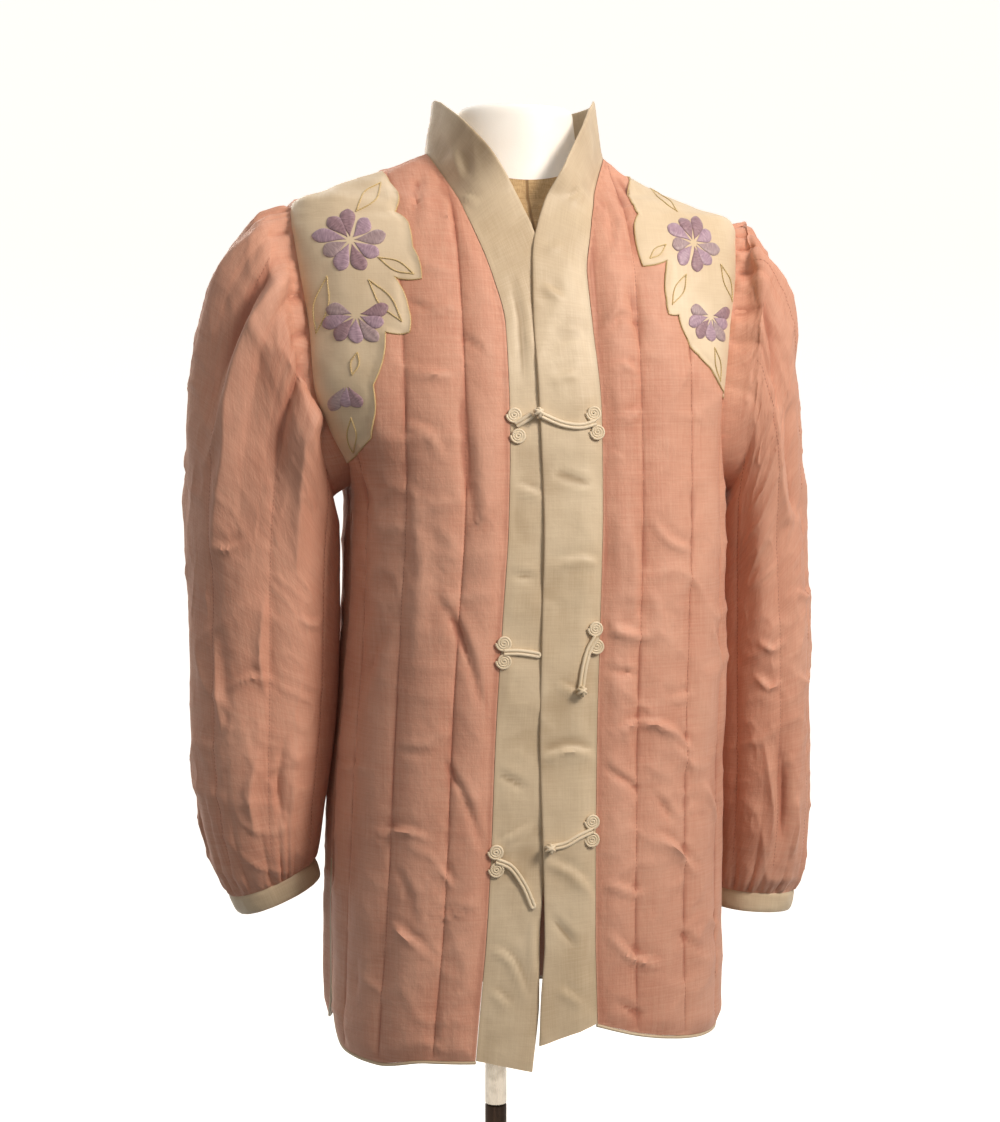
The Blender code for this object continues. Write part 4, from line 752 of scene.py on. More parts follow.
def front_outline(side):
    """The front's cut edge as (arc, flat height), from the band's hem round to the band's hem."""
    seam = seam_heights(side)
    seam_arcs = arc_of(seam, turn_at_x(seam, band_at(side, seam)[0]), 0.0)
    hem = HEM_RIGHT if side == RIGHT else HEM_LEFT
    last_hem = hem[-1][1]
    edge = float(side_arc(last_hem, side, 0.0, VENT_GAP))
    start_arc = seam_arcs[0] + side * SEAM_GAP
    end_arc = edge - side * VENT_RADIUS
    count = int(abs(end_arc - start_arc) / EDGE_STEP)
    shares = np.arange(count) / count
    heights = curve_rows([row[0] for row in hem], [[row[1]] for row in hem], shares)[:, 0]
    parts = [np.stack([start_arc + (end_arc - start_arc) * shares, heights], axis=1)]
    parts.append(vent_corner(edge, last_hem, side))
    for low, high, gap in (
        (last_hem + VENT_RADIUS, VENT_TOP, VENT_GAP),
        (VENT_TOP + VENT_TAPER, UNDERARM_HEIGHT, SEAM_GAP),
    ):
        heights = spread(low, high, EDGE_STEP)
        parts.append(np.stack([side_arc(heights, side, 0.0, gap), heights], axis=1))
    height, turn = armhole_point(side, np.linspace(pi, 0, ARMHOLE_STEPS)[1:-1])
    parts.append(np.stack([arc_of(height, turn, 0.0), flat_height(height)], axis=1))
    heights = spread(TIP_HEIGHTS[side], NECK_HEIGHT, EDGE_STEP / SLOPE_STRETCH)
    parts.append(np.stack([side_arc(heights, side, 0.0, SEAM_GAP), flat_height(heights)], axis=1))
    gaps = np.where(seam > BAND_BEND, BAND_UPPER_GAP, SEAM_GAP)
    parts.append(np.stack([seam_arcs + side * gaps, flat_height(seam)], axis=1)[-2:0:-1])
    return tidy_outline(parts)


def back_neck(steps):
    turn = pi / 2 + pi * np.arange(2 * steps + 1) / (2 * steps)
    return NECK_HEIGHT - BACK_NECK_DROP * np.abs(np.cos(turn)) ** 1.5, turn


def back_side(side):
    parts = []
    for low, high, gap in (
        (BACK_HEM + VENT_RADIUS, VENT_TOP, VENT_GAP),
        (VENT_TOP + VENT_TAPER, UNDERARM_HEIGHT, SEAM_GAP),
    ):
        heights = spread(low, high, EDGE_STEP)
        parts.append(np.stack([side_arc(heights, side, pi, gap), heights], axis=1))
    height, turn = armhole_point(side, np.linspace(pi, 2 * pi, ARMHOLE_STEPS)[1:-1])
    turn = turn + (2 * pi if side == RIGHT else 0.0)
    parts.append(np.stack([arc_of(height, turn, pi), flat_height(height)], axis=1))
    heights = spread(TIP_HEIGHTS[side], NECK_HEIGHT, EDGE_STEP / SLOPE_STRETCH)
    parts.append(np.stack([side_arc(heights, side, pi, SEAM_GAP), flat_height(heights)], axis=1))
    return np.vstack(parts)


def back_outline():
    """The back's cut edge as (arc, flat height); arcs grow towards the wearer's right."""
    edge_left = float(side_arc(BACK_HEM, LEFT, pi, VENT_GAP))
    edge_right = float(side_arc(BACK_HEM, RIGHT, pi, VENT_GAP))
    hem = spread(edge_left + VENT_RADIUS, edge_right - VENT_RADIUS, EDGE_STEP)[1:-1]
    height, turn = back_neck(36)
    neck = np.stack([arc_of(height, turn, pi), flat_height(height - SEAM_GAP)], axis=1)
    return tidy_outline(
        [
            vent_corner(edge_left, BACK_HEM, -1)[::-1],
            np.stack([hem, np.full(len(hem), BACK_HEM)], axis=1),
            vent_corner(edge_right, BACK_HEM, 1),
            back_side(RIGHT),
            neck[-2:0:-1],
            back_side(LEFT)[::-1],
        ]
    )


def line_distance(points, line):
    """How far each point lies from a line of points, worked out a block at a time."""
    a, b = line[:-1], line[1:]
    ab = b - a
    length = np.maximum((ab * ab).sum(1), 1e-12)
    found = np.empty(len(points))
    for first in range(0, len(points), 2000):
        block = points[first : first + 2000, None, :]
        t = np.clip(((block - a) * ab).sum(2) / length, 0, 1)
        found[first : first + 2000] = np.min(np.linalg.norm(a + ab * t[:, :, None] - block, axis=2), axis=1)
    return found


def inside_polygon(points, polygon):
    x, y = points[:, 0], points[:, 1]
    inside = np.zeros(len(points), bool)
    for (ax, ay), (bx, by) in zip(polygon, np.roll(polygon, -1, axis=0)):
        if ay == by:
            continue
        crosses = (ay > y) != (by > y)
        inside ^= crosses & (x < (bx - ax) * (y - ay) / (by - ay) + ax)
    return inside


def ring_of(points):
    return np.vstack([points, points[:1]])


def fill_pattern(outline, inner):
    """Triangles over a cut piece, anticlockwise, from its edge and the points laid inside it."""
    points = [Vector(point) for point in np.vstack([outline, inner]).tolist()]
    edges = [(i, (i + 1) % len(outline)) for i in range(len(outline))]
    _, _, faces, source, _, _ = delaunay_2d_cdt(points, edges, [], 1, 1e-7)
    order = [min(indices) for indices in source]
    return [tuple(order[i] for i in face) for face in faces]


def lay_points(outline, columns, rows, clear):
    """Points on columns that follow the stitch lines, clear of the edge."""
    grid = [np.stack([columns(height_of_flat(z)), np.full(len(columns(0.3)), z)], axis=1) for z in rows]
    points = np.vstack(grid)
    points = points[inside_polygon(points, outline)]
    return points[line_distance(points, ring_of(outline)) > clear]


def stitch_columns():
    """Distances of the columns from the grain line, close together beside each stitch line."""
    shares = np.array(COLUMN_SHARES)
    found = [-CHANNEL + CHANNEL * shares, FIRST_CHANNEL * shares]
    found += [FIRST_CHANNEL + CHANNEL * (k + shares) for k in range(CHANNELS_EACH_SIDE)]
    return np.concatenate(found)


def grain_arc(side, height):
    """The band's seam below the bust, carried straight up above it."""
    height = np.asarray(height, float)
    x = band_at(side, np.minimum(height, GRAIN_TOP).ravel())[0].reshape(height.shape)
    return arc_of(height, turn_at_x(height, x), 0.0)


def channel_share(distance):
    distance = np.where(distance < 0, distance + FIRST_CHANNEL + CHANNEL, distance)
    return np.where(
        distance < FIRST_CHANNEL,
        distance / FIRST_CHANNEL % 1.0,
        (distance - FIRST_CHANNEL) / CHANNEL % 1.0,
    )


def crease_rise(x, z, rows):
    """The creases' height at each point of a front or back view of the cloth, in metres."""
    total = np.zeros(len(x))
    spots = np.stack([x, z], axis=1) * 1000
    for half_width, height, *route in rows:
        route = np.array(route, float)
        low, high = route.min(axis=0) - 6 * half_width, route.max(axis=0) + 6 * half_width
        near = ((spots > low) & (spots < high)).all(axis=1)
        if not near.any():
            continue
        fine = curve_rows(np.arange(len(route)), route, np.linspace(0, len(route) - 1, 8 * len(route)))
        a, ab = fine[:-1], np.diff(fine, axis=0)
        points = spots[near][:, None, :]
        t = np.clip(((points - a) * ab).sum(2) / (ab * ab).sum(1), 0, 1)
        off = points - (a + ab * t[:, :, None])
        distance = np.linalg.norm(off, axis=2)
        best = np.argmin(distance, axis=1)
        pick = np.arange(len(best))
        along = (best + t[pick, best]) / len(ab)
        off = off[pick, best]
        sign = np.sign(ab[best, 0] * off[:, 1] - ab[best, 1] * off[:, 0])
        across = distance[pick, best] * sign
        taper = np.sin(pi * np.clip(along, 0.001, 0.999)) ** 0.7
        crest = np.exp(-np.abs(across / (CREASE_NARROW * half_width)) ** 1.2)
        beside = np.exp(-(((across - 1.9 * half_width) / (1.3 * half_width)) ** 2))
        total[near] += CREASE_GAIN * height / 1000 * taper * (crest - 0.40 * beside)
    return total


def front_cloth(side, outline, applique_region):
    """A function from (arc, flat height) to how far the front's outside stands off its inside."""

    def rise(points):
        height = height_of_flat(points[:, 1])
        turn = turn_of(height, points[:, 0], 0.0)
        place = body_point(height, turn)
        distance = side * (points[:, 0] - grain_arc(side, height))
        share = channel_share(distance)
        fade = np.minimum(1.0, line_distance(points, ring_of(outline)) / SEAM_FADE)
        depth = padding(points, share, side + 2)
        if applique_region is not None:
            covered = inside_polygon(points, applique_region)
            edge = line_distance(points, ring_of(applique_region))
            depth = depth * (1 - 0.6 * smoothstep(np.where(covered, edge, 0.0) / 0.008))
            fade = fade * (1 - 0.7 * smoothstep(np.where(covered, edge, 0.0) / 0.008))
        creases = crease_rise(place[:, 0], place[:, 2], FRONT_CREASES[side])
        waves = 0.0011 * noise(points[:, 0], points[:, 1], 0.075, side + 5)
        waves += crumples(points[:, 0], points[:, 1], side + 80)
        return np.maximum(SEAM_WALL + fade * (depth + creases + waves), LEAST_WALL)

    return rise


def crumples(across, along, seed):
    """Uneven little ridges that cross one another, as washed cotton takes over soft padding."""
    total = np.zeros(len(across))
    for k, (cell, lean, height) in enumerate(CRUMPLES):
        ridge = 1 - np.abs(noise(across + lean * along, along - lean * across * 0.4, cell, seed + 7 * k))
        where = np.clip(noise(across, along, cell * 2.4, seed + 7 * k + 3) + 0.45, 0.0, 1.0)
        total += height * where * (ridge**5 - 0.18)
    return total


def padding(points, share, seed):
    """The quilted channels: a soft roll between stitch lines, puckered beside them."""
    across, along = points[:, 0], points[:, 1]
    roll = np.abs(np.sin(pi * share)) ** CHANNEL_ROUND
    full = 1 + 0.22 * noise(across, along, 0.060, seed) + 0.12 * noise(across, along, 0.022, seed + 1)
    beside = np.exp(-np.minimum(share, 1 - share) * CHANNEL / 0.006)
    pucker = noise(across * 0.35, along, 0.0085, seed + 2) + 0.5 * noise(across * 0.5, along, 0.019, seed + 3)
    return CHANNEL_RISE * roll * full + 0.00045 * pucker * beside * roll**0.3


def back_cloth(outline):
    def rise(points):
        height = height_of_flat(points[:, 1])
        place = body_point(height, turn_of(height, points[:, 0], pi))
        share = points[:, 0] / CHANNEL % 1.0
        fade = np.minimum(1.0, line_distance(points, ring_of(outline)) / SEAM_FADE)
        depth = padding(points, share, 11)
        creases = crease_rise(place[:, 0], place[:, 2], BACK_CREASES)
        waves = 0.0013 * noise(points[:, 0], points[:, 1], 0.080, 12)
        waves += crumples(points[:, 0], points[:, 1], 90)
        return np.maximum(SEAM_WALL + fade * (depth + creases + waves), LEAST_WALL)

    return rise


# Meshes
PIECES = {}


def add_mesh(name, points, faces, finish, uv=None, crest=None):
    """A smooth mesh that rides on the one body; its points are in the jacket's own frame."""
    mesh = bpy.data.meshes.new(name)
    mesh.from_pydata((np.asarray(points) + JACKET_PLACE).tolist(), [], faces)
    if uv is not None:
        layer = mesh.uv_layers.new(name="UVMap")
        corners = np.empty(len(mesh.loops), np.int32)
        mesh.loops.foreach_get("vertex_index", corners)
        layer.data.foreach_set("uv", np.asarray(uv, np.float32)[corners].ravel())
    # crest: how high the relief stands; the materials turn it into painted shade where it is low and a
    # painted highlight where it is high
    if crest is not None:
        attribute = mesh.attributes.new("crest", "FLOAT", "POINT")
        attribute.data.foreach_set("value", np.asarray(crest, np.float32))
    mesh.shade_smooth()
    mesh.set_sharp_from_angle(angle=radians(60))
    mesh.materials.append(finish)
    thing = bpy.data.objects.new(name, mesh)
    bpy.context.scene.collection.objects.link(thing)
    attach(thing, "root")
    PIECES[name] = thing
    return thing


def grid_faces(rows, columns, closed=False, shift=0, flip=False):
    """Quads over a grid of points; closed joins the last column to the first."""
    i, j = np.meshgrid(np.arange(rows - 1), np.arange(columns if closed else columns - 1), indexing="ij")
    after = (j + 1) % columns
    near, far = i * columns, (i + 1) * columns
    faces = np.stack([near + j, near + after, far + after, far + j], axis=-1)
    faces = faces.reshape(-1, 4) + shift
    return (faces[:, ::-1] if flip else faces).tolist()


def slab(name, over, under, finish, uv=None, crest=None):
    """A closed sheet between an upper and a lower grid of the same size."""
    rows, columns = over.shape[:2]
    count = rows * columns
    faces = grid_faces(rows, columns) + grid_faces(rows, columns, shift=count, flip=True)
    border = [j for j in range(columns)]
    border += [i * columns + columns - 1 for i in range(1, rows)]
    border += [(rows - 1) * columns + j for j in range(columns - 2, -1, -1)]
    border += [i * columns for i in range(rows - 2, 0, -1)]
    faces += [(b, a, a + count, b + count) for a, b in zip(border, border[1:] + border[:1])]
    points = np.vstack([over.reshape(-1, 3), under.reshape(-1, 3)])
    if uv is not None:
        uv = np.vstack([uv.reshape(-1, 2)] * 2)
    if crest is not None:
        crest = np.concatenate([np.ravel(crest)] * 2)
    return add_mesh(name, points, faces, finish, uv, crest)


def tube(path, radius, sides=10, up=(0.0, -1.0, 0.0), squash=1.0):
    """Points and faces of a round cord along a path, closed at its ends."""
    path = np.asarray(path)
    ahead = unit(np.gradient(path, axis=0))
    up = np.broadcast_to(np.asarray(up, float), path.shape)
    across = unit(np.cross(ahead, up))
    over = np.cross(across, ahead)
    radius = np.broadcast_to(np.asarray(radius, float), (len(path),))
    angles = 2 * pi * np.arange(sides) / sides
    rings = (
        path[:, None, :]
        + across[:, None, :] * (radius[:, None] * np.cos(angles))[:, :, None]
        + over[:, None, :] * (squash * radius[:, None] * np.sin(angles))[:, :, None]
    )
    tips = path[:1] - ahead[:1] * radius[0] * 0.5, path[-1:] + ahead[-1:] * radius[-1] * 0.5
    points = np.vstack([rings.reshape(-1, 3), *tips])
    faces = grid_faces(len(path), sides, closed=True, flip=True)
    first, last = len(points) - 2, len(points) - 1
    shift = (len(path) - 1) * sides
    for k in range(sides):
        after = (k + 1) % sides
        faces.append((first, k, after))
        faces.append((last, shift + after, shift + k))
    along = np.concatenate(([0.0], np.cumsum(np.linalg.norm(np.diff(path, axis=0), axis=1))))
    uv = np.stack(np.broadcast_arrays(along[:, None], angles[None, :] * radius[:, None]), axis=-1)
    uv = uv.reshape(-1, 2)
    uv = np.vstack([uv, uv[:1], uv[-1:]])
    return points, faces, uv


def merge(parts):
    """Several (points, faces, uv) joined as one."""
    points, faces, uvs, shift = [], [], [], 0
    for some, some_faces, some_uv in parts:
        points.append(some)
        uvs.append(some_uv)
        faces += [tuple(i + shift for i in face) for face in some_faces]
        shift += len(some)
    return np.vstack(points), faces, np.vstack(uvs)


def through(points, step):
    """A smooth curve through a few points, with a point at about each step."""
    points = np.asarray(points, float)
    keys = np.concatenate(([0.0], np.cumsum(np.linalg.norm(np.diff(points, axis=0), axis=1))))
    if len(points) == 2:
        return points[0] + (points[1] - points[0]) * spread(0, 1, step / keys[-1])[:, None]
    ways = np.gradient(points, keys, axis=0)
    x = spread(0, keys[-1], step)
    i = np.clip(np.searchsorted(keys, x, side="right") - 1, 0, len(keys) - 2)
    gap = np.diff(keys)[i][:, None]
    t = ((x - keys[i]) / gap[:, 0])[:, None]
    return (
        (1 + 2 * t) * (1 - t) ** 2 * points[i]
        + t * (1 - t) ** 2 * gap * ways[i]
        + t * t * (3 - 2 * t) * points[i + 1]
        + t * t * (t - 1) * gap * ways[i + 1]
    )


# Materials
def linear(code):
    """A colour given as sRGB hexadecimal, as linear values."""
    values = [int(code[i : i + 2], 16) / 255 for i in (0, 2, 4)]
    return [v / 12.92 if v <= 0.04045 else ((v + 0.055) / 1.055) ** 2.4 for v in values] + [1.0]


class Paint:
    """A material being built: node() adds a node, join() links an output to an input."""

    def __init__(self, name, colour, **sockets):
        self.material = bpy.data.materials.new(name)
        self.material.use_nodes = True
        self.tree = self.material.node_tree
        self.shader = self.tree.nodes["Principled BSDF"]
        self.shader.inputs["Base Color"].default_value = linear(colour)
        for socket, value in sockets.items():
            self.shader.inputs[socket.replace("_", " ")].default_value = value

    def node(self, kind, **values):
        made = self.tree.nodes.new("ShaderNode" + kind)
        for key, value in values.items():
            if hasattr(made, key):
                setattr(made, key, value)
            else:
                made.inputs[key.replace("_", " ")].default_value = value
        return made

    def join(self, output, target):
        self.tree.links.new(output, target)

    def uv(self, across, along):
        mapping = self.node("Mapping")
        mapping.inputs["Scale"].default_value = (across, along, 1.0)
        self.join(self.node("UVMap").outputs[0], mapping.inputs[0])
        return mapping.outputs[0]

    def place(self, scale=1.0):
        mapping = self.node("Mapping")
        mapping.inputs["Scale"].default_value = (scale, scale, scale)
        self.join(self.node("TexCoord").outputs["Object"], mapping.inputs[0])
        return mapping.outputs[0]

    def noise(self, vector, scale, detail=2.0, rough=0.5):
        made = self.node("TexNoise", Scale=scale, Detail=detail, Roughness=rough)
        self.join(vector, made.inputs["Vector"])
        return made.outputs[0]

    def math(self, operation, first, second=None):
        made = self.node("Math", operation=operation)
        for index, value in enumerate((first, second)):
            if value is None:
                continue
            if hasattr(value, "links"):
                self.join(value, made.inputs[index])
            else:
                made.inputs[index].default_value = value
        return made.outputs[0]

    def span(self, value, low, high, to_low=0.0, to_high=1.0):
        made = self.node("MapRange")
        self.join(value, made.inputs["Value"])
        for name, number in (("From Min", low), ("From Max", high), ("To Min", to_low), ("To Max", to_high)):
            made.inputs[name].default_value = number
        return made.outputs[0]

    def mix(self, share, first, second, blend="MIX"):
        made = self.node("Mix", data_type="RGBA", blend_type=blend)
        for socket, value in ((made.inputs[0], share), (made.inputs[6], first), (made.inputs[7], second)):
            if hasattr(value, "links"):
                self.join(value, socket)
            elif isinstance(value, str):
                socket.default_value = linear(value)
            else:
                socket.default_value = value
        return made.outputs[2]

    def bump(self, height, distance, strength=1.0, under=None):
        made = self.node("Bump", Distance=distance, Strength=strength)
        self.join(height, made.inputs["Height"])
        if under is not None:
            self.join(under, made.inputs["Normal"])
        return made.outputs[0]

    def finish(self, colour=None, normal=None, roughness=None):
        for socket, value in (("Base Color", colour), ("Normal", normal), ("Roughness", roughness)):
            if value is not None:
                self.join(value, self.shader.inputs[socket])
        return self.material


def threads(paint, pitch, slub):
    """A plain weave's height and its uneven threads, from the cloth's own coordinates."""
    pair = []
    for across, along in ((1.0, 0.045), (0.045, 1.0)):
        pair.append(paint.noise(paint.uv(across / pitch, along / pitch), 1.0, 3.0, 0.62))
    slubs = []
    for across, along in ((1.0, 0.03), (0.03, 1.0)):
        slubs.append(paint.noise(paint.uv(across / slub, along / slub), 1.0, 2.0))
    weave = paint.math("ADD", pair[0], pair[1])
    uneven = paint.math("ADD", slubs[0], slubs[1])
    return weave, uneven


def quilted_cloth():
    paint = Paint(
        "quilted_cloth",
        "CF937B",
        Roughness=0.62,
        Sheen_Weight=0.22,
        Sheen_Roughness=0.45,
        Specular_IOR_Level=0.35,
    )
    paint.shader.inputs["Sheen Tint"].default_value = linear("FFD9C8")
    weave, uneven = threads(paint, 0.00050, 0.0016)
    cloud = paint.noise(paint.place(), 9.0, 3.0, 0.6)
    colour = paint.mix(paint.span(cloud, 0.35, 0.65), "C68870", "DAA189")
    colour = paint.mix(paint.span(uneven, 0.7, 1.3, 0.0, 0.40), colour, "E2B79E")
    colour = paint.mix(paint.span(weave, 0.7, 1.3, 0.26, 0.0), colour, "9C5C48")
    crest = paint.node("Attribute", attribute_name="crest").outputs["Fac"]
    # Painted shade: the cloth darkens where its relief is low, in the channels' valleys, creases and folds
    colour = paint.mix(paint.span(crest, -0.15, 0.30, 0.60, 0.0), colour, "99553F")
    # Painted highlight: the cloth lightens on its highest ridges
    colour = paint.mix(paint.span(crest, 0.6, 1.4, 0.0, 0.22), colour, "DDB09B")
    normal = paint.bump(weave, 0.00016, 0.55)
    wrinkle = paint.noise(paint.uv(1.0, 0.6), 80.0, 5.0, 0.66)
    normal = paint.bump(wrinkle, 0.0026, 0.45, normal)
    rough = paint.span(uneven, 0.7, 1.3, 0.68, 0.54)
    return paint.finish(colour, normal, rough)


def satin(name, light, deep, painted_valley_shade):
    paint = Paint(
        name,
        light,
        Roughness=0.48,
        Sheen_Weight=0.15,
        Sheen_Roughness=0.35,
        Specular_IOR_Level=0.42,
        Anisotropic=0.35,
    )
    weave, uneven = threads(paint, 0.00030, 0.0009)
    cloud = paint.noise(paint.place(), 14.0, 3.0, 0.6)
    colour = paint.mix(paint.span(cloud, 0.35, 0.65), light, deep)
    colour = paint.mix(paint.span(uneven, 0.75, 1.25, 0.0, 0.18), colour, "F4E8CC")
    crest = paint.node("Attribute", attribute_name="crest").outputs["Fac"]
    # Painted shade: the satin darkens towards this colour where its relief is low, in folds and along seams
    colour = paint.mix(paint.span(crest, 0.0, 0.5, 0.5, 0.0), colour, painted_valley_shade)
    normal = paint.bump(weave, 0.00008, 0.4)
    wrinkle = paint.noise(paint.uv(0.8, 1.0), 70.0, 4.0, 0.6)
    normal = paint.bump(wrinkle, 0.0014, 0.35, normal)
    return paint.finish(colour, normal, paint.span(uneven, 0.7, 1.3, 0.54, 0.42))


def embroidery(name, light, deep):
    """Satin stitch: shiny threads laid side by side across the shape."""
    paint = Paint(name, light, Roughness=0.38, Sheen_Weight=0.2, Specular_IOR_Level=0.5)
    strands = paint.noise(paint.uv(1 / 0.00045, 1 / 0.006), 1.0, 2.0, 0.6)
    colour = paint.mix(paint.span(strands, 0.35, 0.65), deep, light)
    # Painted shade: the thread darkens at the petal's sides and in its middle groove
    crest = paint.node("Attribute", attribute_name="crest").outputs["Fac"]
    colour = paint.mix(paint.span(crest, 0.0, 0.45, 0.55, 0.0), colour, deep)
    return paint.finish(colour, paint.bump(strands, 0.00035, 0.9))


def cord_thread(name, light, deep):
    paint = Paint(name, light, Roughness=0.5, Sheen_Weight=0.2)
    twist = paint.node("TexWave", bands_direction="DIAGONAL", Scale=1.0, Distortion=0.6)
    paint.join(paint.uv(1 / 0.0035, 1 / 0.0035), twist.inputs["Vector"])
    colour = paint.mix(twist.outputs[1], deep, light)
    return paint.finish(colour, paint.bump(twist.outputs[1], 0.00015, 0.6))


def form_cover():
    paint = Paint("form_cover", "C2A377", Roughness=0.85, Sheen_Weight=0.15)
    place = paint.place()
    fine = []
    for stretch in ((1.0, 1.0, 0.05), (0.05, 0.05, 1.0)):
        mapping = paint.node("Mapping")
        mapping.inputs["Scale"].default_value = stretch
        paint.join(place, mapping.inputs[0])
        fine.append(paint.noise(mapping.outputs[0], 1400.0, 2.0))
    weave = paint.math("ADD", fine[0], fine[1])
    colour = paint.mix(paint.span(weave, 0.75, 1.25), "B08F62", "CDB084")
    split = paint.node("SeparateXYZ")
    paint.join(place, split.inputs[0])
    centre = paint.math("ABSOLUTE", paint.math("SUBTRACT", split.outputs[0], float(JACKET_PLACE[0])))
    seam = paint.span(centre, 0.0006, 0.0018, 0.0, 1.0)
    colour = paint.mix(seam, "8E6F48", colour)
    normal = paint.bump(weave, 0.0003, 0.5)
    return paint.finish(colour, paint.bump(seam, 0.0008, 0.8, normal))


def neck_cap():
    # Painted light: a slight glow of its own keeps the white block bright
    paint = Paint("neck_cap", "F6F4F0", Roughness=0.5, Emission_Strength=0.10)
    paint.shader.inputs["Emission Color"].default_value = linear("FFFDFA")
    cloud = paint.noise(paint.place(), 40.0, 3.0)
    colour = paint.mix(cloud, "F0EDE6", "FAF8F4")
    return paint.finish(colour, paint.bump(paint.noise(paint.place(), 900.0, 2.0), 0.0002, 0.4))


def steel(name, light, deep, rough):
    paint = Paint(name, light, Metallic=0.9, Roughness=rough)
    mapping = paint.node("Mapping")
    mapping.inputs["Scale"].default_value = (1.0, 1.0, 0.04)
    paint.join(paint.place(), mapping.inputs[0])
    brushed = paint.noise(mapping.outputs[0], 700.0, 3.0)
    worn = paint.noise(paint.place(), 60.0, 4.0, 0.65)
    colour = paint.mix(paint.span(worn, 0.4, 0.7), light, deep)
    normal = paint.bump(brushed, 0.0001, 0.4)
    return paint.finish(colour, normal, paint.span(brushed, 0.3, 0.7, rough - 0.08, rough + 0.1))


def stage_paint():
    paint = Paint("stage_paint", "F7F3EE", Roughness=0.9, Specular_IOR_Level=0.1, Emission_Strength=0.86)
    paint.shader.inputs["Emission Color"].default_value = linear("FFFBF6")
    return paint.finish()


CLOTH = quilted_cloth()
# The third colour of each satin is the painted shade of its low places
SATIN = satin("satin", "D0BEA2", "BFAA8C", "8A704F")
APPLIQUE_SATIN = satin("applique_satin", "DFCCB0", "CFBA9B", "8E7452")
THREADS = {
    "mauve": embroidery("mauve_thread", "A98891", "7C5F6C"),
    "lilac": embroidery("lilac_thread", "BFA2B4", "92778A"),
    "pale": embroidery("pale_thread", "B9A2A6", "8F797F"),
}
STITCH_THREAD = cord_thread("stitch_thread", "CD9680", "A9705B")
GOLD = cord_thread("leaf_cord", "DCC792", "B3955B")
FROG_SATIN = satin("frog_satin", "E6D8C0", "D6C5A8", "927856")


def stitches(name, runs):
    """Short raised threads along each run of points, which comes with the normals there."""
    points, faces, shift = [], [], 0
    angles = pi / 4 + pi / 2 * np.arange(4)
    for path, normals in runs:
        if len(path) < 3:
            continue
        along = np.concatenate(([0.0], np.cumsum(np.linalg.norm(np.diff(path, axis=0), axis=1))))
        starts = np.arange(STITCH_PITCH, along[-1] - STITCH_PITCH, STITCH_PITCH)
        if not len(starts):
            continue

        def at(values, places, along=along):
            return np.stack([np.interp(places, along, values[:, k]) for k in range(3)], axis=1)

        low, high = at(path, starts), at(path, starts + STITCH_LENGTH)
        up = unit(at(normals, starts + STITCH_LENGTH / 2))
        ahead = unit(high - low)
        across = unit(np.cross(ahead, up))
        ends = [low, low * 0.75 + high * 0.25, low * 0.25 + high * 0.75, high]
        stitch = [ends[0][:, None]]
        for middle in ends[1:3]:
            ring = across[:, None] * np.cos(angles)[:, None] + up[:, None] * np.sin(angles)[:, None]
            stitch.append(middle[:, None] + up[:, None] * THREAD_RADIUS * 0.6 + ring * THREAD_RADIUS)
        stitch.append(ends[3][:, None])
        points.append(np.concatenate(stitch, axis=1).reshape(-1, 3))
        for first in range(shift, shift + 10 * len(starts), 10):
            for k in range(4):
                a, b = first + 1 + k, first + 1 + (k + 1) % 4
                faces += [(first, b, a), (a, b, b + 4, a + 4), (first + 9, a + 4, b + 4)]
        shift += 10 * len(starts)
    thing = add_mesh(name, np.vstack(points), faces, STITCH_THREAD)
    return thing


def panel_runs(outline, start, lines, rise, hidden=None):
    """Where a panel's stitch lines show, each as points on the cloth with their normals."""
    flats = spread(outline[:, 1].min(), outline[:, 1].max(), 0.004)
    heights = height_of_flat(flats)
    runs = []
    for arcs in lines(heights):
        flat = np.stack([arcs, flats], axis=1)
        shown = inside_polygon(flat, outline) & (line_distance(flat, ring_of(outline)) > 0.004)
        if hidden is not None:
            shown &= ~inside_polygon(flat, hidden)
        changes = np.nonzero(np.diff(np.concatenate(([False], shown, [False])).astype(int)))[0]
        for first, last in zip(changes[::2], changes[1::2]):
            if last - first < 3:
                continue
            some = slice(first, last)
            turns = turn_of(heights[some], arcs[some], start)
            normals = body_normal(heights[some], turns)
            level = rise(flat[some])[:, None]
            runs.append((body_point(heights[some], turns) + normals * level, normals))
    return runs


def panel(name, outline, start, columns, rise):
    """A quilted wall over a cut piece: plain inside, channels and creases raised outside."""
    low, high = outline[:, 1].min(), outline[:, 1].max()
    fine = lay_points(outline, columns(1), spread(low, high, ROW_STEP)[1:-1], EDGE_STEP * 0.5)
    coarse = lay_points(outline, columns(3), spread(low, high, INSIDE_STEP)[1:-1], INSIDE_STEP * 0.35)
    outer_flat, inner_flat = np.vstack([outline, fine]), np.vstack([outline, coarse])
    heights = height_of_flat(outer_flat[:, 1])
    turns = turn_of(heights, outer_flat[:, 0], start)
    stands = rise(outer_flat)
    outer = body_point(heights, turns) + body_normal(heights, turns) * stands[:, None]
    heights = height_of_flat(inner_flat[:, 1])
    inner = body_point(heights, turn_of(heights, inner_flat[:, 0], start))
    shift, count = len(outer), len(outline)
    faces = fill_pattern(outline, fine)
    faces += [tuple(shift + i for i in reversed(face)) for face in fill_pattern(outline, coarse)]
    area = np.sum(outline[:, 0] * np.roll(outline[:, 1], -1) - np.roll(outline[:, 0], -1) * outline[:, 1])
    for i in range(count):
        after = (i + 1) % count
        quad = (shift + i, shift + after, after, i)
        faces.append(quad if area > 0 else quad[::-1])
    # Relief height for the cloth's painted shade and painted highlight; the cut edge and the inside get fixed
    # middle values
    crest = (stands - SEAM_WALL) / CHANNEL_RISE
    crest[:count] = 0.5
    crest = np.concatenate([crest, np.full(len(inner), 0.6)])
    return add_mesh(name, np.vstack([outer, inner]), faces, CLOTH, np.vstack([outer_flat, inner_flat]), crest)


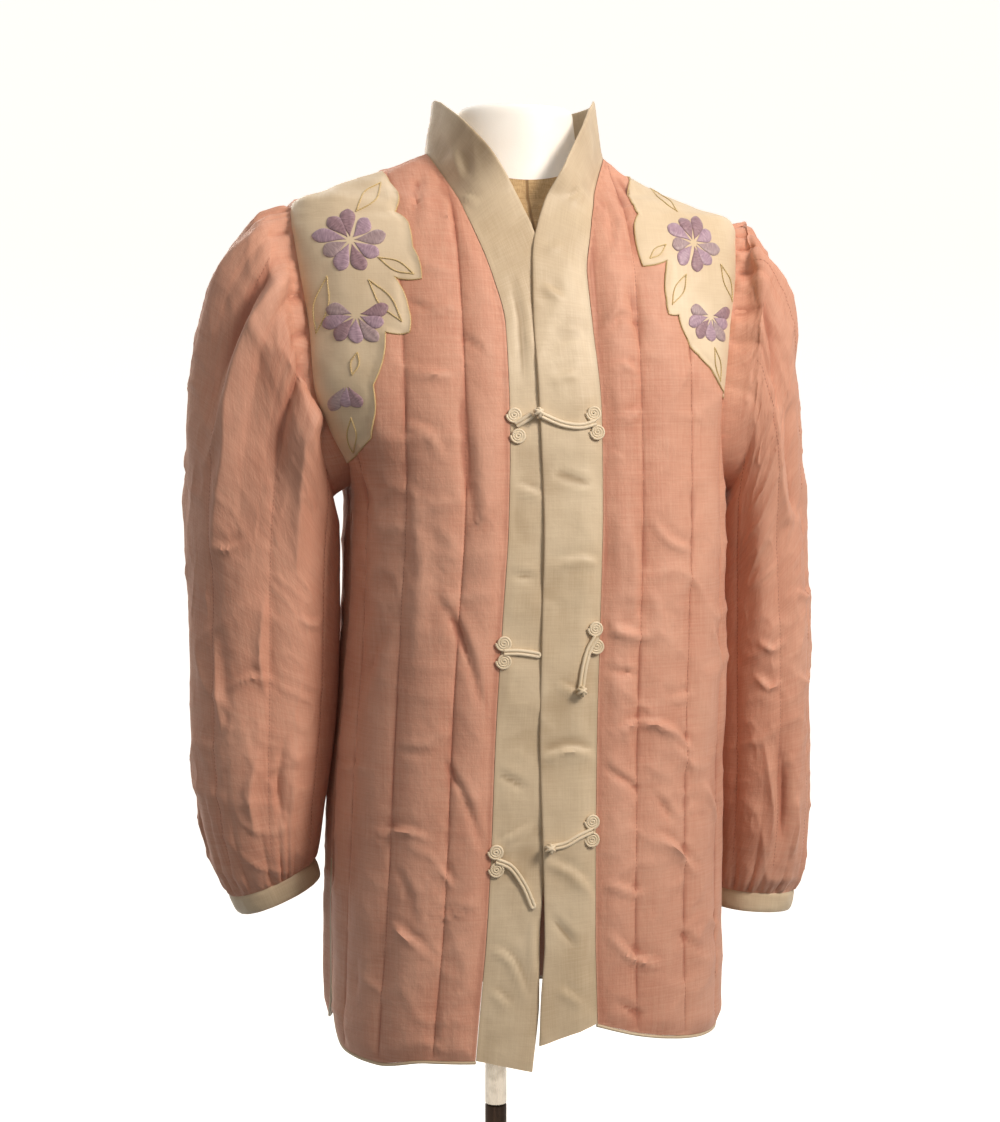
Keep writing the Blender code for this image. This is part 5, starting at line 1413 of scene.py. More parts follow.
def applique_edge(side, outline):
    """The applique's free edge on the flat front, bowed between its points like leaf edges."""
    rows = np.array(APPLIQUE_RIGHT if side == RIGHT else APPLIQUE_LEFT)
    heights = rows[:, 1]
    arcs = arc_of(heights, turn_at_x(heights, side * rows[:, 0]), 0.0)
    corners = np.stack([arcs, flat_height(heights)], axis=1)
    ends = [int(np.argmin(np.linalg.norm(outline - corner, axis=1))) for corner in (corners[0], corners[-1])]
    corners[0], corners[-1] = outline[ends[0]], outline[ends[1]]
    line = [corners[:1]]
    for a, b in zip(corners, corners[1:]):
        share = spread(0, 1, 0.0022 / np.linalg.norm(b - a))[1:, None]
        way = b - a
        bow = np.array((way[1], -way[0])) * side * 0.07
        line.append(a + way * share + bow * np.sin(pi * share))
    return np.vstack(line), ends


def applique(name, side, region, front_rise):
    """The satin shape sewn on the shoulder, a smooth puffed wall over the quilted front."""
    low, high = region.min(axis=0), region.max(axis=0)
    step = 0.0026
    grid = np.stack(np.meshgrid(np.arange(low[0], high[0], step), np.arange(low[1], high[1], step)), axis=-1)
    grid = grid.reshape(-1, 2)
    grid = grid[inside_polygon(grid, region)]
    grid = grid[line_distance(grid, ring_of(region)) > step * 0.5]
    flat = np.vstack([region, grid])
    under, over = applique_levels(flat, side, region, front_rise)
    heights = height_of_flat(flat[:, 1])
    turns = turn_of(heights, flat[:, 0], 0.0)
    base, normals = body_point(heights, turns), body_normal(heights, turns)
    points = np.vstack([base + normals * over[:, None], base + normals * under[:, None]])
    top = fill_pattern(region, grid)
    shift, count = len(flat), len(region)
    faces = list(top) + [tuple(shift + i for i in reversed(face)) for face in top]
    area = np.sum(region[:, 0] * np.roll(region[:, 1], -1) - np.roll(region[:, 0], -1) * region[:, 1])
    for i in range(count):
        after = (i + 1) % count
        quad = (shift + i, shift + after, after, i)
        faces.append(quad if area > 0 else quad[::-1])
    # Painted shade: lower values towards the applique's edge darken the satin there
    crest = 0.3 + 0.5 * smoothstep(line_distance(flat, ring_of(region)) / 0.004)
    uv, crest = np.vstack([flat, flat]), np.concatenate([crest, crest])
    return add_mesh(name, points, faces, APPLIQUE_SATIN, uv, crest)


def applique_levels(flat, side, region, front_rise):
    """How far the applique's underside and top stand off the body at flat points."""
    under = front_rise(flat) + SEAM_GAP
    edge = line_distance(flat, ring_of(region))
    puff = 0.0007 * noise(flat[:, 0], flat[:, 1], 0.016, side + 21)
    puff = puff + 0.0006 * noise(flat[:, 0], flat[:, 1], 0.034, side + 22)
    smooth = APPLIQUE_LEVEL + puff
    share = smoothstep(edge / 0.007)
    over = np.maximum(under + APPLIQUE_WALL, (under + APPLIQUE_WALL) * (1 - share) + smooth * share)
    return under, over


def surface_on_front(x, z, level):
    """Points and normals at a level off the body, at places of the front view in mm."""
    x, z = np.asarray(x, float) / 1000, np.asarray(z, float) / 1000
    turns = turn_at_x(z, x)
    normals = body_normal(z, turns)
    return body_point(z, turns) + normals * level[:, None], normals


class Shoulder:
    """What lies on one front's shoulder: the levels that embroidery is laid on."""

    def __init__(self, side, region, front_rise):
        self.side, self.region, self.front_rise = side, region, front_rise

    def level(self, x, z):
        heights = np.asarray(z, float) / 1000
        turns = turn_at_x(heights, np.asarray(x, float) / 1000)
        flat = np.stack([arc_of(heights, turns, 0.0), flat_height(heights)], axis=1)
        under, over = applique_levels(flat, self.side, self.region, self.front_rise)
        inside = inside_polygon(flat, self.region)
        edge = line_distance(flat, ring_of(self.region))
        share = np.where(inside, smoothstep(edge / 0.003), 0.0)
        return (under - SEAM_GAP) * (1 - share) + over * share


def petal_rows(side):
    """Each petal of the side's flowers: root x, z, tip x, z, half width, thread."""
    rows = []
    for heart_x, heart_z, first, turn, count, length, half in FLOWERS[side]:
        for k in range(count):
            way = radians(first + turn * k)
            reach = length * PETAL_LENGTHS[k % len(PETAL_LENGTHS)]
            root = heart_x + HEART_RADIUS * sin(way), heart_z + HEART_RADIUS * cos(way)
            tip = heart_x + reach * sin(way), heart_z + reach * cos(way)
            rows.append((*root, *tip, half, PETAL_THREADS[k % len(PETAL_THREADS)]))
    return rows


def leaf_routes(side):
    """The two sides of each leaf, as points for a curve."""
    routes = []
    for (root_x, root_z), (tip_x, tip_z), swell in LEAVES[side]:
        long_x, long_z = tip_x - root_x, tip_z - root_z
        reach = (long_x**2 + long_z**2) ** 0.5
        for way in (-swell, swell):
            middle = (
                (root_x + tip_x) / 2 - way * long_z / reach,
                (root_z + tip_z) / 2 + way * long_x / reach,
            )
            routes.append(((root_x, root_z), middle, (tip_x, tip_z)))
    return routes


def petals(shoulder):
    """The satin-stitched petals, one mesh for each thread."""
    groups = {}
    for root_x, root_z, tip_x, tip_z, half, thread in petal_rows(shoulder.side):
        root, tip = np.array((root_x, root_z), float), np.array((tip_x, tip_z), float)
        way = tip - root
        length = np.linalg.norm(way)
        ahead = way / length
        beside = np.array((ahead[1], -ahead[0]))
        along = (1 - np.cos(pi * np.linspace(0, 1, 19))) / 2
        across = np.sin(pi / 2 * np.linspace(-1, 1, 13))
        width = 1.24 * half * np.sin(pi * np.clip(along, 0.004, 0.998) ** 1.9) ** 0.60
        bend = 0.05 * length * np.sin(pi * along) * (1 if (tip_x * 7 + tip_z) % 2 else -1)
        middle = root + ahead * (along * length)[:, None] + beside * bend[:, None]
        spots = middle[:, None, :] + beside * (width[:, None] * across)[:, :, None]
        dome = (1 - np.abs(across) ** 2.4) ** 0.55 * (0.25 + 0.75 * (width / half)[:, None])
        groove = 0.34 * np.exp(-((across / 0.16) ** 2))
        lift = 0.0013 * dome * (1 - groove)
        x, z = spots[..., 0].ravel(), spots[..., 1].ravel()
        level = shoulder.level(x, z)
        over, _ = surface_on_front(x, z, level + 0.0001 + lift.ravel())
        under, _ = surface_on_front(x, z, level - 0.0003)
        shape = (len(along), len(across))
        uv = np.stack(np.broadcast_arrays((along * length / 1000)[:, None], across * half / 1000), axis=-1)
        # Painted shade: low at the petal's sides and along its middle groove, where the thread darkens
        crest = np.broadcast_to(np.clip(dome * (1 - 1.6 * groove), 0, 1), shape)
        groups.setdefault(thread, []).append((over.reshape(*shape, 3), under.reshape(*shape, 3), uv, crest))
    for thread, found in groups.items():
        points, faces, uvs, crests, shift = [], [], [], [], 0
        for over, under, uv, crest in found:
            rows, columns = over.shape[:2]
            count = rows * columns
            some = grid_faces(rows, columns) + grid_faces(rows, columns, shift=count, flip=True)
            border = list(range(columns)) + [i * columns + columns - 1 for i in range(1, rows)]
            border += [(rows - 1) * columns + j for j in range(columns - 2, -1, -1)]
            border += [i * columns for i in range(rows - 2, 0, -1)]
            some += [(b, a, a + count, b + count) for a, b in zip(border, border[1:] + border[:1])]
            place = np.vstack([over.reshape(-1, 3), under.reshape(-1, 3)])
            if facing_in(place, some[0]):
                some = [face[::-1] for face in some]
            points.append(place)
            faces += [tuple(i + shift for i in face) for face in some]
            uvs.append(np.vstack([uv.reshape(-1, 2)] * 2))
            crests.append(np.concatenate([crest.ravel()] * 2))
            shift += 2 * count
        name = f"petals_{thread}_{WORDS[shoulder.side]}"
        points, uvs, crests = np.vstack(points), np.vstack(uvs), np.concatenate(crests)
        thing = add_mesh(name, points, faces, THREADS[thread], uvs, crests)


def facing_in(points, face):
    """Whether a face on the front of the jacket looks back at the body."""
    a, b, c = (points[i] for i in face[:3])
    return np.cross(b - a, c - a)[1] > 0


def leaf_cords(shoulder, outline_mm):
    """The couched cords: the two sides of each leaf, and the applique's edge."""
    parts = []
    for route in leaf_routes(shoulder.side) + [outline_mm]:
        fine = through(route, 1.6) if route is not outline_mm else np.asarray(route)
        level = shoulder.level(fine[:, 0], fine[:, 1])
        radius = 0.00055 if route is not outline_mm else 0.0008
        path, normals = surface_on_front(fine[:, 0], fine[:, 1], level + radius * 0.55)
        parts.append(tube(path, radius, 6, normals))
    points, faces, uv = merge(parts)
    thing = add_mesh(f"leaf_cords_{WORDS[shoulder.side]}", points, faces, GOLD, uv)


def edge_frames(points, normals, targets, closed):
    """For each point of a seam, the way on past the seam along the cloth, towards a target."""
    after, before = np.roll(points, -1, axis=0), np.roll(points, 1, axis=0)
    if not closed:
        after[-1], before[0] = points[-1], points[0]
    ways = unit(np.cross(normals, unit(after - before)))
    return ways * np.where((ways * targets).sum(1) > 0, 1.0, -1.0)[:, None]


def grid_normals(grid, closed, outward):
    down = np.gradient(grid, axis=0)
    across = np.roll(grid, -1, axis=1) - np.roll(grid, 1, axis=1) if closed else np.gradient(grid, axis=1)
    normals = unit(np.cross(across, down))
    return normals * (1.0 if (normals * outward).sum() > 0 else -1.0)


def sleeve_ring(side, row, angles):
    outer_x, outer_z, inner_x, inner_z, middle_y, half_depth = row[:6]
    outer = np.array((side * outer_x, middle_y, outer_z))
    inner = np.array((side * inner_x, middle_y, inner_z))
    centre, half = (outer + inner) / 2, (outer - inner) / 2
    ahead = -half_depth * signed_power(np.sin(angles), 2 / SLEEVE_POWER)
    ring = centre + half * signed_power(np.cos(angles), 2 / SLEEVE_POWER)[:, None]
    ring[:, 1] += ahead
    return ring


def sleeve_rings(side, table, angles):
    """The rings of the plain sleeve, from the armhole's edge to the cuff."""
    place = armhole_point(side, angles)
    edge, normals = body_point(*place), body_normal(*place)
    ways = edge_frames(edge, normals, edge.mean(axis=0) - edge, True)
    rises = (TIP_RISE + (UNDERARM_RISE - TIP_RISE) * (1 - np.cos(angles)) / 2)[:, None]
    clear = SEAM_GAP + SLEEVE_WALL / 2 * np.sin(rises)
    start = edge + ways * clear + normals * SEAM_WALL / 2
    runs = ways * np.cos(rises) + normals * np.sin(rises)
    first = sleeve_ring(side, table[0], angles)
    rings = [(start + runs * step) * own + first * (1 - own) for step, own, _, _ in SLEEVE_HEAD]
    return np.array(rings + [sleeve_ring(side, row, angles) for row in table])


def head_share(angle):
    """How far the head's gathers stand up at an angle: fully round its top, not at all below."""
    return np.clip(2 * np.cos(angle) + 0.9, 0.0, 1.0)


def gather_wave(angles, along, count, seed):
    """Uneven pleats round a seam: soft rolls parted by sharp valleys, about nought on average."""
    round_once = np.abs(angles - pi) * 10
    drift = 4.0 * noise(round_once, along * 25, 4.0, seed + 3) * along
    warp = noise(round_once, along * 9, 6.0, seed) * 1.5 + noise(round_once, along * 9, 2.3, seed + 1) * 0.7
    strength = 0.65 + 0.35 * noise(round_once, along * 9, 3.1, seed + 2)
    return (np.abs(np.sin(count * angles / 2 + warp + drift)) ** 0.8 - 0.55) * strength


def sleeve(side, table):
    angles = 2 * pi * np.arange(AROUND) / AROUND
    rings = sleeve_rings(side, table, angles)
    steps = np.linalg.norm(np.diff(rings, axis=0), axis=2)
    keys = np.concatenate(([0.0], np.cumsum(steps.max(axis=1) * 0.5 + steps.mean(axis=1) * 0.5)))
    lengths = spread(0, keys[-1], SLEEVE_ROW)
    grid = curve_rows(keys, rings.reshape(len(rings), -1), lengths).reshape(len(lengths), AROUND, 3)
    headed = int(HEAD_LENGTH / SLEEVE_ROW)
    for _ in range(HEAD_SMOOTHING):
        grid[2:headed] = (grid[1 : headed - 1] + 2 * grid[2:headed] + grid[3 : headed + 1]) / 4
    amounts = np.array([row[2:4] for row in SLEEVE_HEAD] + [row[6:8] for row in table])
    channel, _ = curve_rows(keys, amounts, lengths).T
    centres = grid.mean(axis=1, keepdims=True)
    normals = grid_normals(grid, True, grid - centres)
    turn, along = np.meshgrid(angles, lengths)
    length = keys[-1]
    from_head, from_cuff = along, length - along

    share = SLEEVE_CHANNELS * turn / (2 * pi) % 1.0
    roll = np.abs(np.sin(pi * share)) ** CHANNEL_ROUND
    girth = np.linalg.norm(np.roll(grid, -1, axis=1) - grid, axis=2).sum(axis=1)
    around = girth[:, None] * turn / (2 * pi)
    beside = np.exp(-np.minimum(share, 1 - share) * girth[:, None] / SLEEVE_CHANNELS / 0.006)
    full = 1 + 0.22 * noise(around, along, 0.055, side + 31)
    pucker = noise(around * 0.35, along, 0.0085, side + 32)
    quilt = channel[:, None] * (SLEEVE_RISE * roll * full + 0.00045 * pucker * beside)

    head = head_share(turn)
    fine = gather_wave(turn, along, 46, side + 33) * np.exp(-from_head / 0.022)
    broad = gather_wave(turn, along, 22, side + 36) * np.exp(-from_head / 0.090)
    rooted = smoothstep(from_head / 0.007)
    gathers = head * rooted * (0.0026 * fine + 0.0078 * broad)
    fine = gather_wave(turn, along, 44, side + 39) * np.exp(-from_cuff / 0.014)
    broad = gather_wave(turn, along, 19, side + 42) * np.exp(-from_cuff / 0.050)
    rooted = smoothstep(from_cuff / 0.004)
    gathers += rooted * (0.0020 * fine + 0.0062 * broad)

    front = smoothstep(-normals[..., 1].ravel() * 2.2 + 0.3)
    back = smoothstep(normals[..., 1].ravel() * 2.2 + 0.3)
    x, z = grid[..., 0].ravel(), grid[..., 2].ravel()
    folds = crease_rise(x, z, SLEEVE_CREASES[side]) * front
    folds += crease_rise(x, z, SLEEVE_BACK_CREASES[side]) * back
    folds = SLEEVE_FOLD_GAIN * folds.reshape(turn.shape)
    waves = 0.0024 * noise(around, along, 0.085, side + 45)
    waves += 1.2 * crumples(around.ravel(), along.ravel(), side + 100).reshape(turn.shape)
    hold = smoothstep(from_head / 0.030) * smoothstep(from_cuff / 0.020)
    inner_side = smoothstep((-np.cos(turn) - 0.35) / 0.4)
    moved = (folds + waves) * hold * (1 - 0.75 * inner_side)
    middle = grid + normals * moved[..., None]
    relief = quilt + gathers
    outer = middle + normals * (SLEEVE_WALL / 2 + relief)[..., None]
    inner = middle - normals * (SLEEVE_WALL / 2)
    outer[0] = grid[0] + normals[0] * SLEEVE_WALL / 2
    inner[0] = grid[0] - normals[0] * SLEEVE_WALL / 2
    inner = np.concatenate([inner[::3], inner[-1:]])[:, ::2]
    rows, half = len(lengths), AROUND // 2
    shift = rows * AROUND
    faces = grid_faces(rows, AROUND, closed=True)
    faces += grid_faces(len(inner), half, closed=True, shift=shift, flip=True)
    last, last_inner = (rows - 1) * AROUND, shift + (len(inner) - 1) * half
    for j in range(half):
        a, b, c = 2 * j, 2 * j + 1, (2 * j + 2) % AROUND
        d, e = j, (j + 1) % half
        faces += [(a, shift + d, b), (b, shift + d, shift + e), (b, shift + e, c)]
        faces += [(last + b, last_inner + d, last + a), (last + c, last_inner + e, last + b)]
        faces += [(last + b, last_inner + e, last_inner + d)]
    points = np.vstack([outer.reshape(-1, 3), inner.reshape(-1, 3)])
    if side == LEFT:
        faces = [face[::-1] for face in faces]
    uv = np.stack([around, along], axis=-1)
    uv_inner = np.concatenate([uv[::3], uv[-1:]])[:, ::2]
    # Relief height for painted shade in the sleeve's valleys and gathers and a painted highlight on its
    # ridges
    crest = 0.40 + (quilt + 1.1 * gathers + 0.6 * moved) / (2 * SLEEVE_RISE)
    crest = np.concatenate([np.clip(crest, -0.2, 1.4).ravel(), np.full(inner.shape[0] * half, 0.6)])
    name = f"sleeve_{WORDS[side]}_quilted"
    uv = np.vstack([uv.reshape(-1, 2), uv_inner.reshape(-1, 2)])
    seams = range(0, AROUND, AROUND // SLEEVE_CHANNELS)
    stitches(f"stitches_sleeve_{WORDS[side]}", [(outer[10:-9, j], normals[10:-9, j]) for j in seams])
    return add_mesh(name, points, faces, CLOTH, uv, crest)


def cuff(side, table):
    """The satin cuff: a stuffed band, a little fuller between its two edges."""
    outer_x, outer_z, inner_x, inner_z = table[-1][:4]
    half = np.array((side * (outer_x - inner_x), 0.0, outer_z - inner_z))
    axis = unit(np.array((half[2], 0.0, -half[0])))
    axis = axis if axis[2] < 0 else -axis
    angles = 2 * pi * np.arange(CUFF_AROUND) / CUFF_AROUND
    ring = sleeve_ring(side, table[-1], angles)
    centre = ring.mean(axis=0)
    wall = CUFF_WALL / 2
    shares = np.linspace(0, 1, 11)
    outside = []
    for share in shares:
        bow = sin(pi * share)
        outside.append((share, wall * 0.6 + wall * 0.4 * bow**0.3 + CUFF_SWELL * bow**0.5))
    inside = [(share, -wall) for share in (0.97, 0.5, 0.03)]
    profile = outside + inside
    points, uv = [], []
    for share, offset in profile:
        spokes = (ring - centre) * (1 + (CUFF_TAPER - 1) * share)
        ripple = 0.0
        if offset > 0:
            ripple = 0.00035 * noise(angles * 10, np.full(CUFF_AROUND, share * 3.0), 1.2, side + 51)
        out = unit(spokes) * (np.asarray(offset + ripple).reshape(-1, 1))
        points.append(centre + spokes + out + axis * (SEAM_GAP + CUFF_HEIGHT * share))
        uv.append(np.stack([angles * 0.04, np.full(CUFF_AROUND, share * CUFF_HEIGHT)], axis=1))
    points.append(points[0])
    rows = len(profile)
    grid = np.array(points[:-1])
    faces = grid_faces(rows, CUFF_AROUND, closed=True)
    first, last = 0, (rows - 1) * CUFF_AROUND
    for j in range(CUFF_AROUND):
        after = (j + 1) % CUFF_AROUND
        faces.append((last + j, last + after, first + after, first + j))
    if side == LEFT:
        faces = [face[::-1] for face in faces]
    crest = np.full(rows * CUFF_AROUND, 0.7)
    return add_mesh(f"cuff_{WORDS[side]}_satin", grid.reshape(-1, 3), faces, SATIN, np.vstack(uv), crest)


def band(side):
    """The satin band from the hem up the front and round to the middle of the back neck."""
    heights = seam_heights(side)
    seam_x, free_z, free_x, free_y, stand = band_at(side, heights)
    turns = turn_at_x(heights, seam_x)
    tips = np.stack([free_x, free_y, free_z], axis=1)
    lying = body_point(free_z, turn_at_x(free_z, free_x))
    tips = lying * (1 - stand)[:, None] + tips * stand[:, None]
    neck_h, neck_t = back_neck(COLLAR_STEPS)
    pick = slice(1, COLLAR_STEPS + 1) if side == LEFT else slice(-2, COLLAR_STEPS - 1, -1)
    neck_h, neck_t = neck_h[pick], neck_t[pick]
    neck = body_point(neck_h, neck_t)
    lean = -unit(neck * (1.0, 1.0, 0.0)) * COLLAR_LEAN
    tips = np.vstack([tips, neck + lean + (0.0, 0.0, COLLAR_WIDTH)])
    heights, turns = np.concatenate([heights, neck_h]), np.concatenate([turns, neck_t])
    stand = np.concatenate([stand, np.ones(len(neck_h))])
    free_x = np.concatenate([free_x, np.zeros(len(neck_h))])
    free_z = np.concatenate([free_z, heights[-len(neck_h) :]])
    edge, normals = body_point(heights, turns), body_normal(heights, turns)
    inward = np.where(edge[:, 1] < 0, 0.0, -edge[:, 1])
    targets = np.stack([-edge[:, 0], inward, np.full(len(edge), 0.02)], axis=1)
    ways = edge_frames(edge, normals, targets, False)
    gap = tips - edge
    rise = np.arctan2((gap * normals).sum(1), (gap * ways).sum(1)) * stand
    clear = SEAM_GAP * 0.3 + BAND_WALL / 2 * np.maximum(0.0, np.sin(rise))
    foot = edge + ways * clear[:, None] + normals * SEAM_WALL / 2
    shares = np.concatenate([np.linspace(0, 0.9, 15), (0.94, 0.965, 0.982, 0.993, 1.0)])
    grid = []
    for share in shares:
        standing = foot + (tips - foot) * share
        height = heights + (free_z - heights) * share
        x = edge[:, 0] + (free_x - edge[:, 0]) * share
        turn = turn_at_x(height, x)
        lift = SEAM_WALL / 2 + (OVERLAP_LIFT * smoothstep(share * 2.6) if side == LEFT else 0.0)
        lying = body_point(height, turn) + body_normal(height, turn) * lift
        row = lying * (1 - stand)[:, None] + standing * stand[:, None]
        grid.append(foot if share == 0 else row)
    grid = np.array(grid).transpose(1, 0, 2)
    grid[-1, :, 0] = side * CENTRE_BACK_GAP / 2
    back = np.where(grid[..., 1] < 0, -1.0, grid[..., 1] * 40)
    outward = [grid[..., 0] * stand[:, None], back, np.full(grid.shape[:2], 0.3)]
    outward = np.stack(outward, axis=-1)
    normals = grid_normals(grid, False, outward)
    normals[-1, :, 0] = 0.0
    normals[-1] = unit(normals[-1])
    along = np.concatenate(([0.0], np.cumsum(np.linalg.norm(np.diff(grid[:, 8], axis=0), axis=1))))
    width = np.linalg.norm(grid[:, -1] - grid[:, 0], axis=1)
    across = width[:, None] * shares
    x, z = grid[..., 0].ravel(), grid[..., 2].ravel()
    creases = crease_rise(x, z, BAND_CREASES[side]).reshape(across.shape)
    creases *= np.where(grid[..., 1] < 0.0, 1.0, 0.0)
    waves = 0.0009 * noise(across, along[:, None] + across * 0, 0.045, side + 61)
    rumples = crumples(across.ravel(), (along[:, None] + across * 0).ravel(), side + 120)
    waves += 0.5 * rumples.reshape(across.shape)
    waves += 0.0003 * noise(across, along[:, None] + across * 0, 0.016, side + 62)
    hold = smoothstep(shares / 0.15)
    moved = np.clip((1.3 * creases + waves) * hold, -0.0014, 0.0024)
    free_sway = 0.0012 * noise(np.zeros(len(along)), along, 0.055, side + 63)
    moved = moved + free_sway[:, None] * shares**3 * stand[:, None]
    moved[-1] = 0.0
    rounding = np.sqrt(np.clip(1 - ((shares - 0.955) / 0.0455) ** 2, 0.0, 1.0))
    thick = np.where(shares > 0.955, np.maximum(rounding, 0.12), 1.0) * BAND_WALL / 2
    over = grid + normals * (moved + thick)[..., None]
    under = grid + normals * (moved - thick)[..., None]
    uv = np.stack(np.broadcast_arrays(across, along[:, None]), axis=-1)
    # Relief height for painted shade in the band's folds, with more painted shade along its seam to the front
    crest = 0.6 + moved / 0.002 - 0.35 * np.exp(-across / 0.0012)
    thing = slab(f"band_{WORDS[side]}_satin", over, under, SATIN, uv, np.clip(crest, 0, 1.4))
    if facing_in(np.vstack([over.reshape(-1, 3)]), grid_faces(2, len(shares))[3]):
        thing.data.flip_normals()
    return thing, along[-1]


def edge_piping(name, outline, start):
    """A satin cord sewn along a stretch of a panel's cut edge."""
    heights = height_of_flat(outline[:, 1])
    turns = turn_of(heights, outline[:, 0], start)
    points, normals = body_point(heights, turns), body_normal(heights, turns)
    inside = body_point(np.full(1, 0.3), np.full(1, start))[0] - points
    ways = edge_frames(points, normals, inside, False)
    path = points - ways * (PIPING_RADIUS + SEAM_GAP) + normals * SEAM_WALL / 2
    along = np.concatenate(([0.0], np.cumsum(np.linalg.norm(np.diff(path, axis=0), axis=1))))
    radius = PIPING_RADIUS * (1 + 0.06 * noise(along, along * 0, 0.012, 71))
    points, faces, uv = tube(path, radius, 12, normals)
    return add_mesh(name, points, faces, SATIN, uv, np.full(len(points), 0.7))


def cloth_level(side, x, z, front_rise):
    """How far the finished cloth stands off the body at places of the front, in metres."""
    seam_x, _, free_x = band_at(side, z)[:3]
    arc = arc_of(z, turn_at_x(z, x), 0.0)
    cloth = front_rise(np.stack([arc, flat_height(z)], axis=1))
    lift = SEAM_WALL
    if side == LEFT:
        lift = SEAM_WALL + OVERLAP_LIFT * smoothstep((seam_x - x) / (seam_x - free_x) * 2.6)
    return np.where(side * x > side * seam_x, cloth, lift)


def seat(side, x, z, radius, front_rise):
    """A flat seat on the front: its centre and normal, clear of the cloth round it."""
    angles = np.repeat(np.arange(12) * pi / 6, 2)
    reach = radius * np.tile((0.5, 1.0), 12)
    px, pz = x + reach * np.cos(angles), z + reach * np.sin(angles)
    turn = turn_at_x(np.array([z]), np.array([x]))
    middle, normal = body_point(np.array([z]), turn)[0], body_normal(np.array([z]), turn)[0]
    turns = turn_at_x(pz, px)
    tops = body_point(pz, turns) + body_normal(pz, turns) * cloth_level(side, px, pz, front_rise)[:, None]
    high = max(0.0, float(((tops - middle) @ normal).max()))
    return middle + normal * (high + SEAM_GAP * 0.5), normal


def coil(place, normal, radius, wire, turns=3):
    """A flat coil of cord, wound from its middle out, standing on a seat."""
    side = unit(np.cross(normal, (0.0, 0.0, 1.0)))
    up = np.cross(side, normal)
    steps = np.linspace(0, 1, 34 * turns)
    angle = 2 * pi * turns * steps
    reach = wire * 0.35 + (radius - wire * 1.35) * steps
    out = side * (reach * np.cos(angle))[:, None] + up * (reach * np.sin(angle))[:, None]
    return tube(place + normal * wire + out, wire, 9, normal)


def knot(place, radius):
    """A button knot: cords crossing over a ball."""
    parts = []
    angle = np.linspace(0, 2 * pi, 49)
    for axis_turn in (0.0, pi / 3, 2 * pi / 3):
        for tilt in (0.5, -0.5):
            a = unit(np.array((cos(axis_turn), 0.25, sin(axis_turn))))
            b = unit(np.cross(a, (sin(tilt), 1.0, cos(tilt))))
            c = np.cross(a, b)
            swell = 1 + 0.06 * np.cos(3 * angle + axis_turn)
            circle = b * np.cos(angle)[:, None] + c * np.sin(angle)[:, None]
            path = place + radius * 0.74 * swell[:, None] * circle
            parts.append(tube(path, radius * 0.30, 8, path - place))
    return parts


def frog(node, side, discs, route, last_lift, has_knot, front_rise):
    """One half of a frog closure: two coiled discs, a doubled cord, and a knot or a loop."""
    parts, middles = [], []
    for x, z in discs:
        place, normal = seat(side, x, z, FROG_DISC_RADIUS, front_rise)
        parts.append(coil(place, normal, FROG_DISC_RADIUS, 0.0011))
        middles.append(place + normal * FROG_CORD)
    path = [(middles[0] + middles[1]) / 2]
    for k, (x, z) in enumerate(route[1:], 1):
        place, normal = seat(side, x, z, FROG_CORD, front_rise)
        path.append(place + normal * (FROG_CORD + last_lift * k / (len(route) - 1)))
    fine = through(path, 0.0012)
    ahead = unit(np.gradient(fine, axis=0))
    across = unit(np.cross(ahead, (0.0, -1.0, 0.0)))
    if has_knot:
        for way in (-1, 1):
            parts.append(tube(fine + across * way * FROG_CORD * 0.92, FROG_CORD, 10))
        spot = path[-1] + ahead[-1] * KNOT_RADIUS * 0.5
        place, normal = seat(side, route[-1][0], route[-1][1], KNOT_RADIUS * 0.7, front_rise)
        spot = spot + normal * max(0.0, KNOT_RADIUS - float((spot - place) @ normal))
        parts += knot(spot, KNOT_RADIUS)
    else:
        bend = np.linspace(-pi / 2, pi / 2, 13)[1:-1]
        reach = FROG_CORD * 0.95
        end = fine[-1] + ahead[-1] * (reach * np.cos(bend))[:, None]
        end = end + across[-1] * (reach * np.sin(bend))[:, None]
        loop = np.vstack([fine - across * reach, end, (fine + across * reach)[::-1]])
        parts.append(tube(loop, FROG_CORD, 10))
    points, faces, uv = merge(parts)
    thing = add_mesh(node + "_cords", points, faces, FROG_SATIN, uv, np.full(len(points), 0.7))
    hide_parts(node)
    return thing


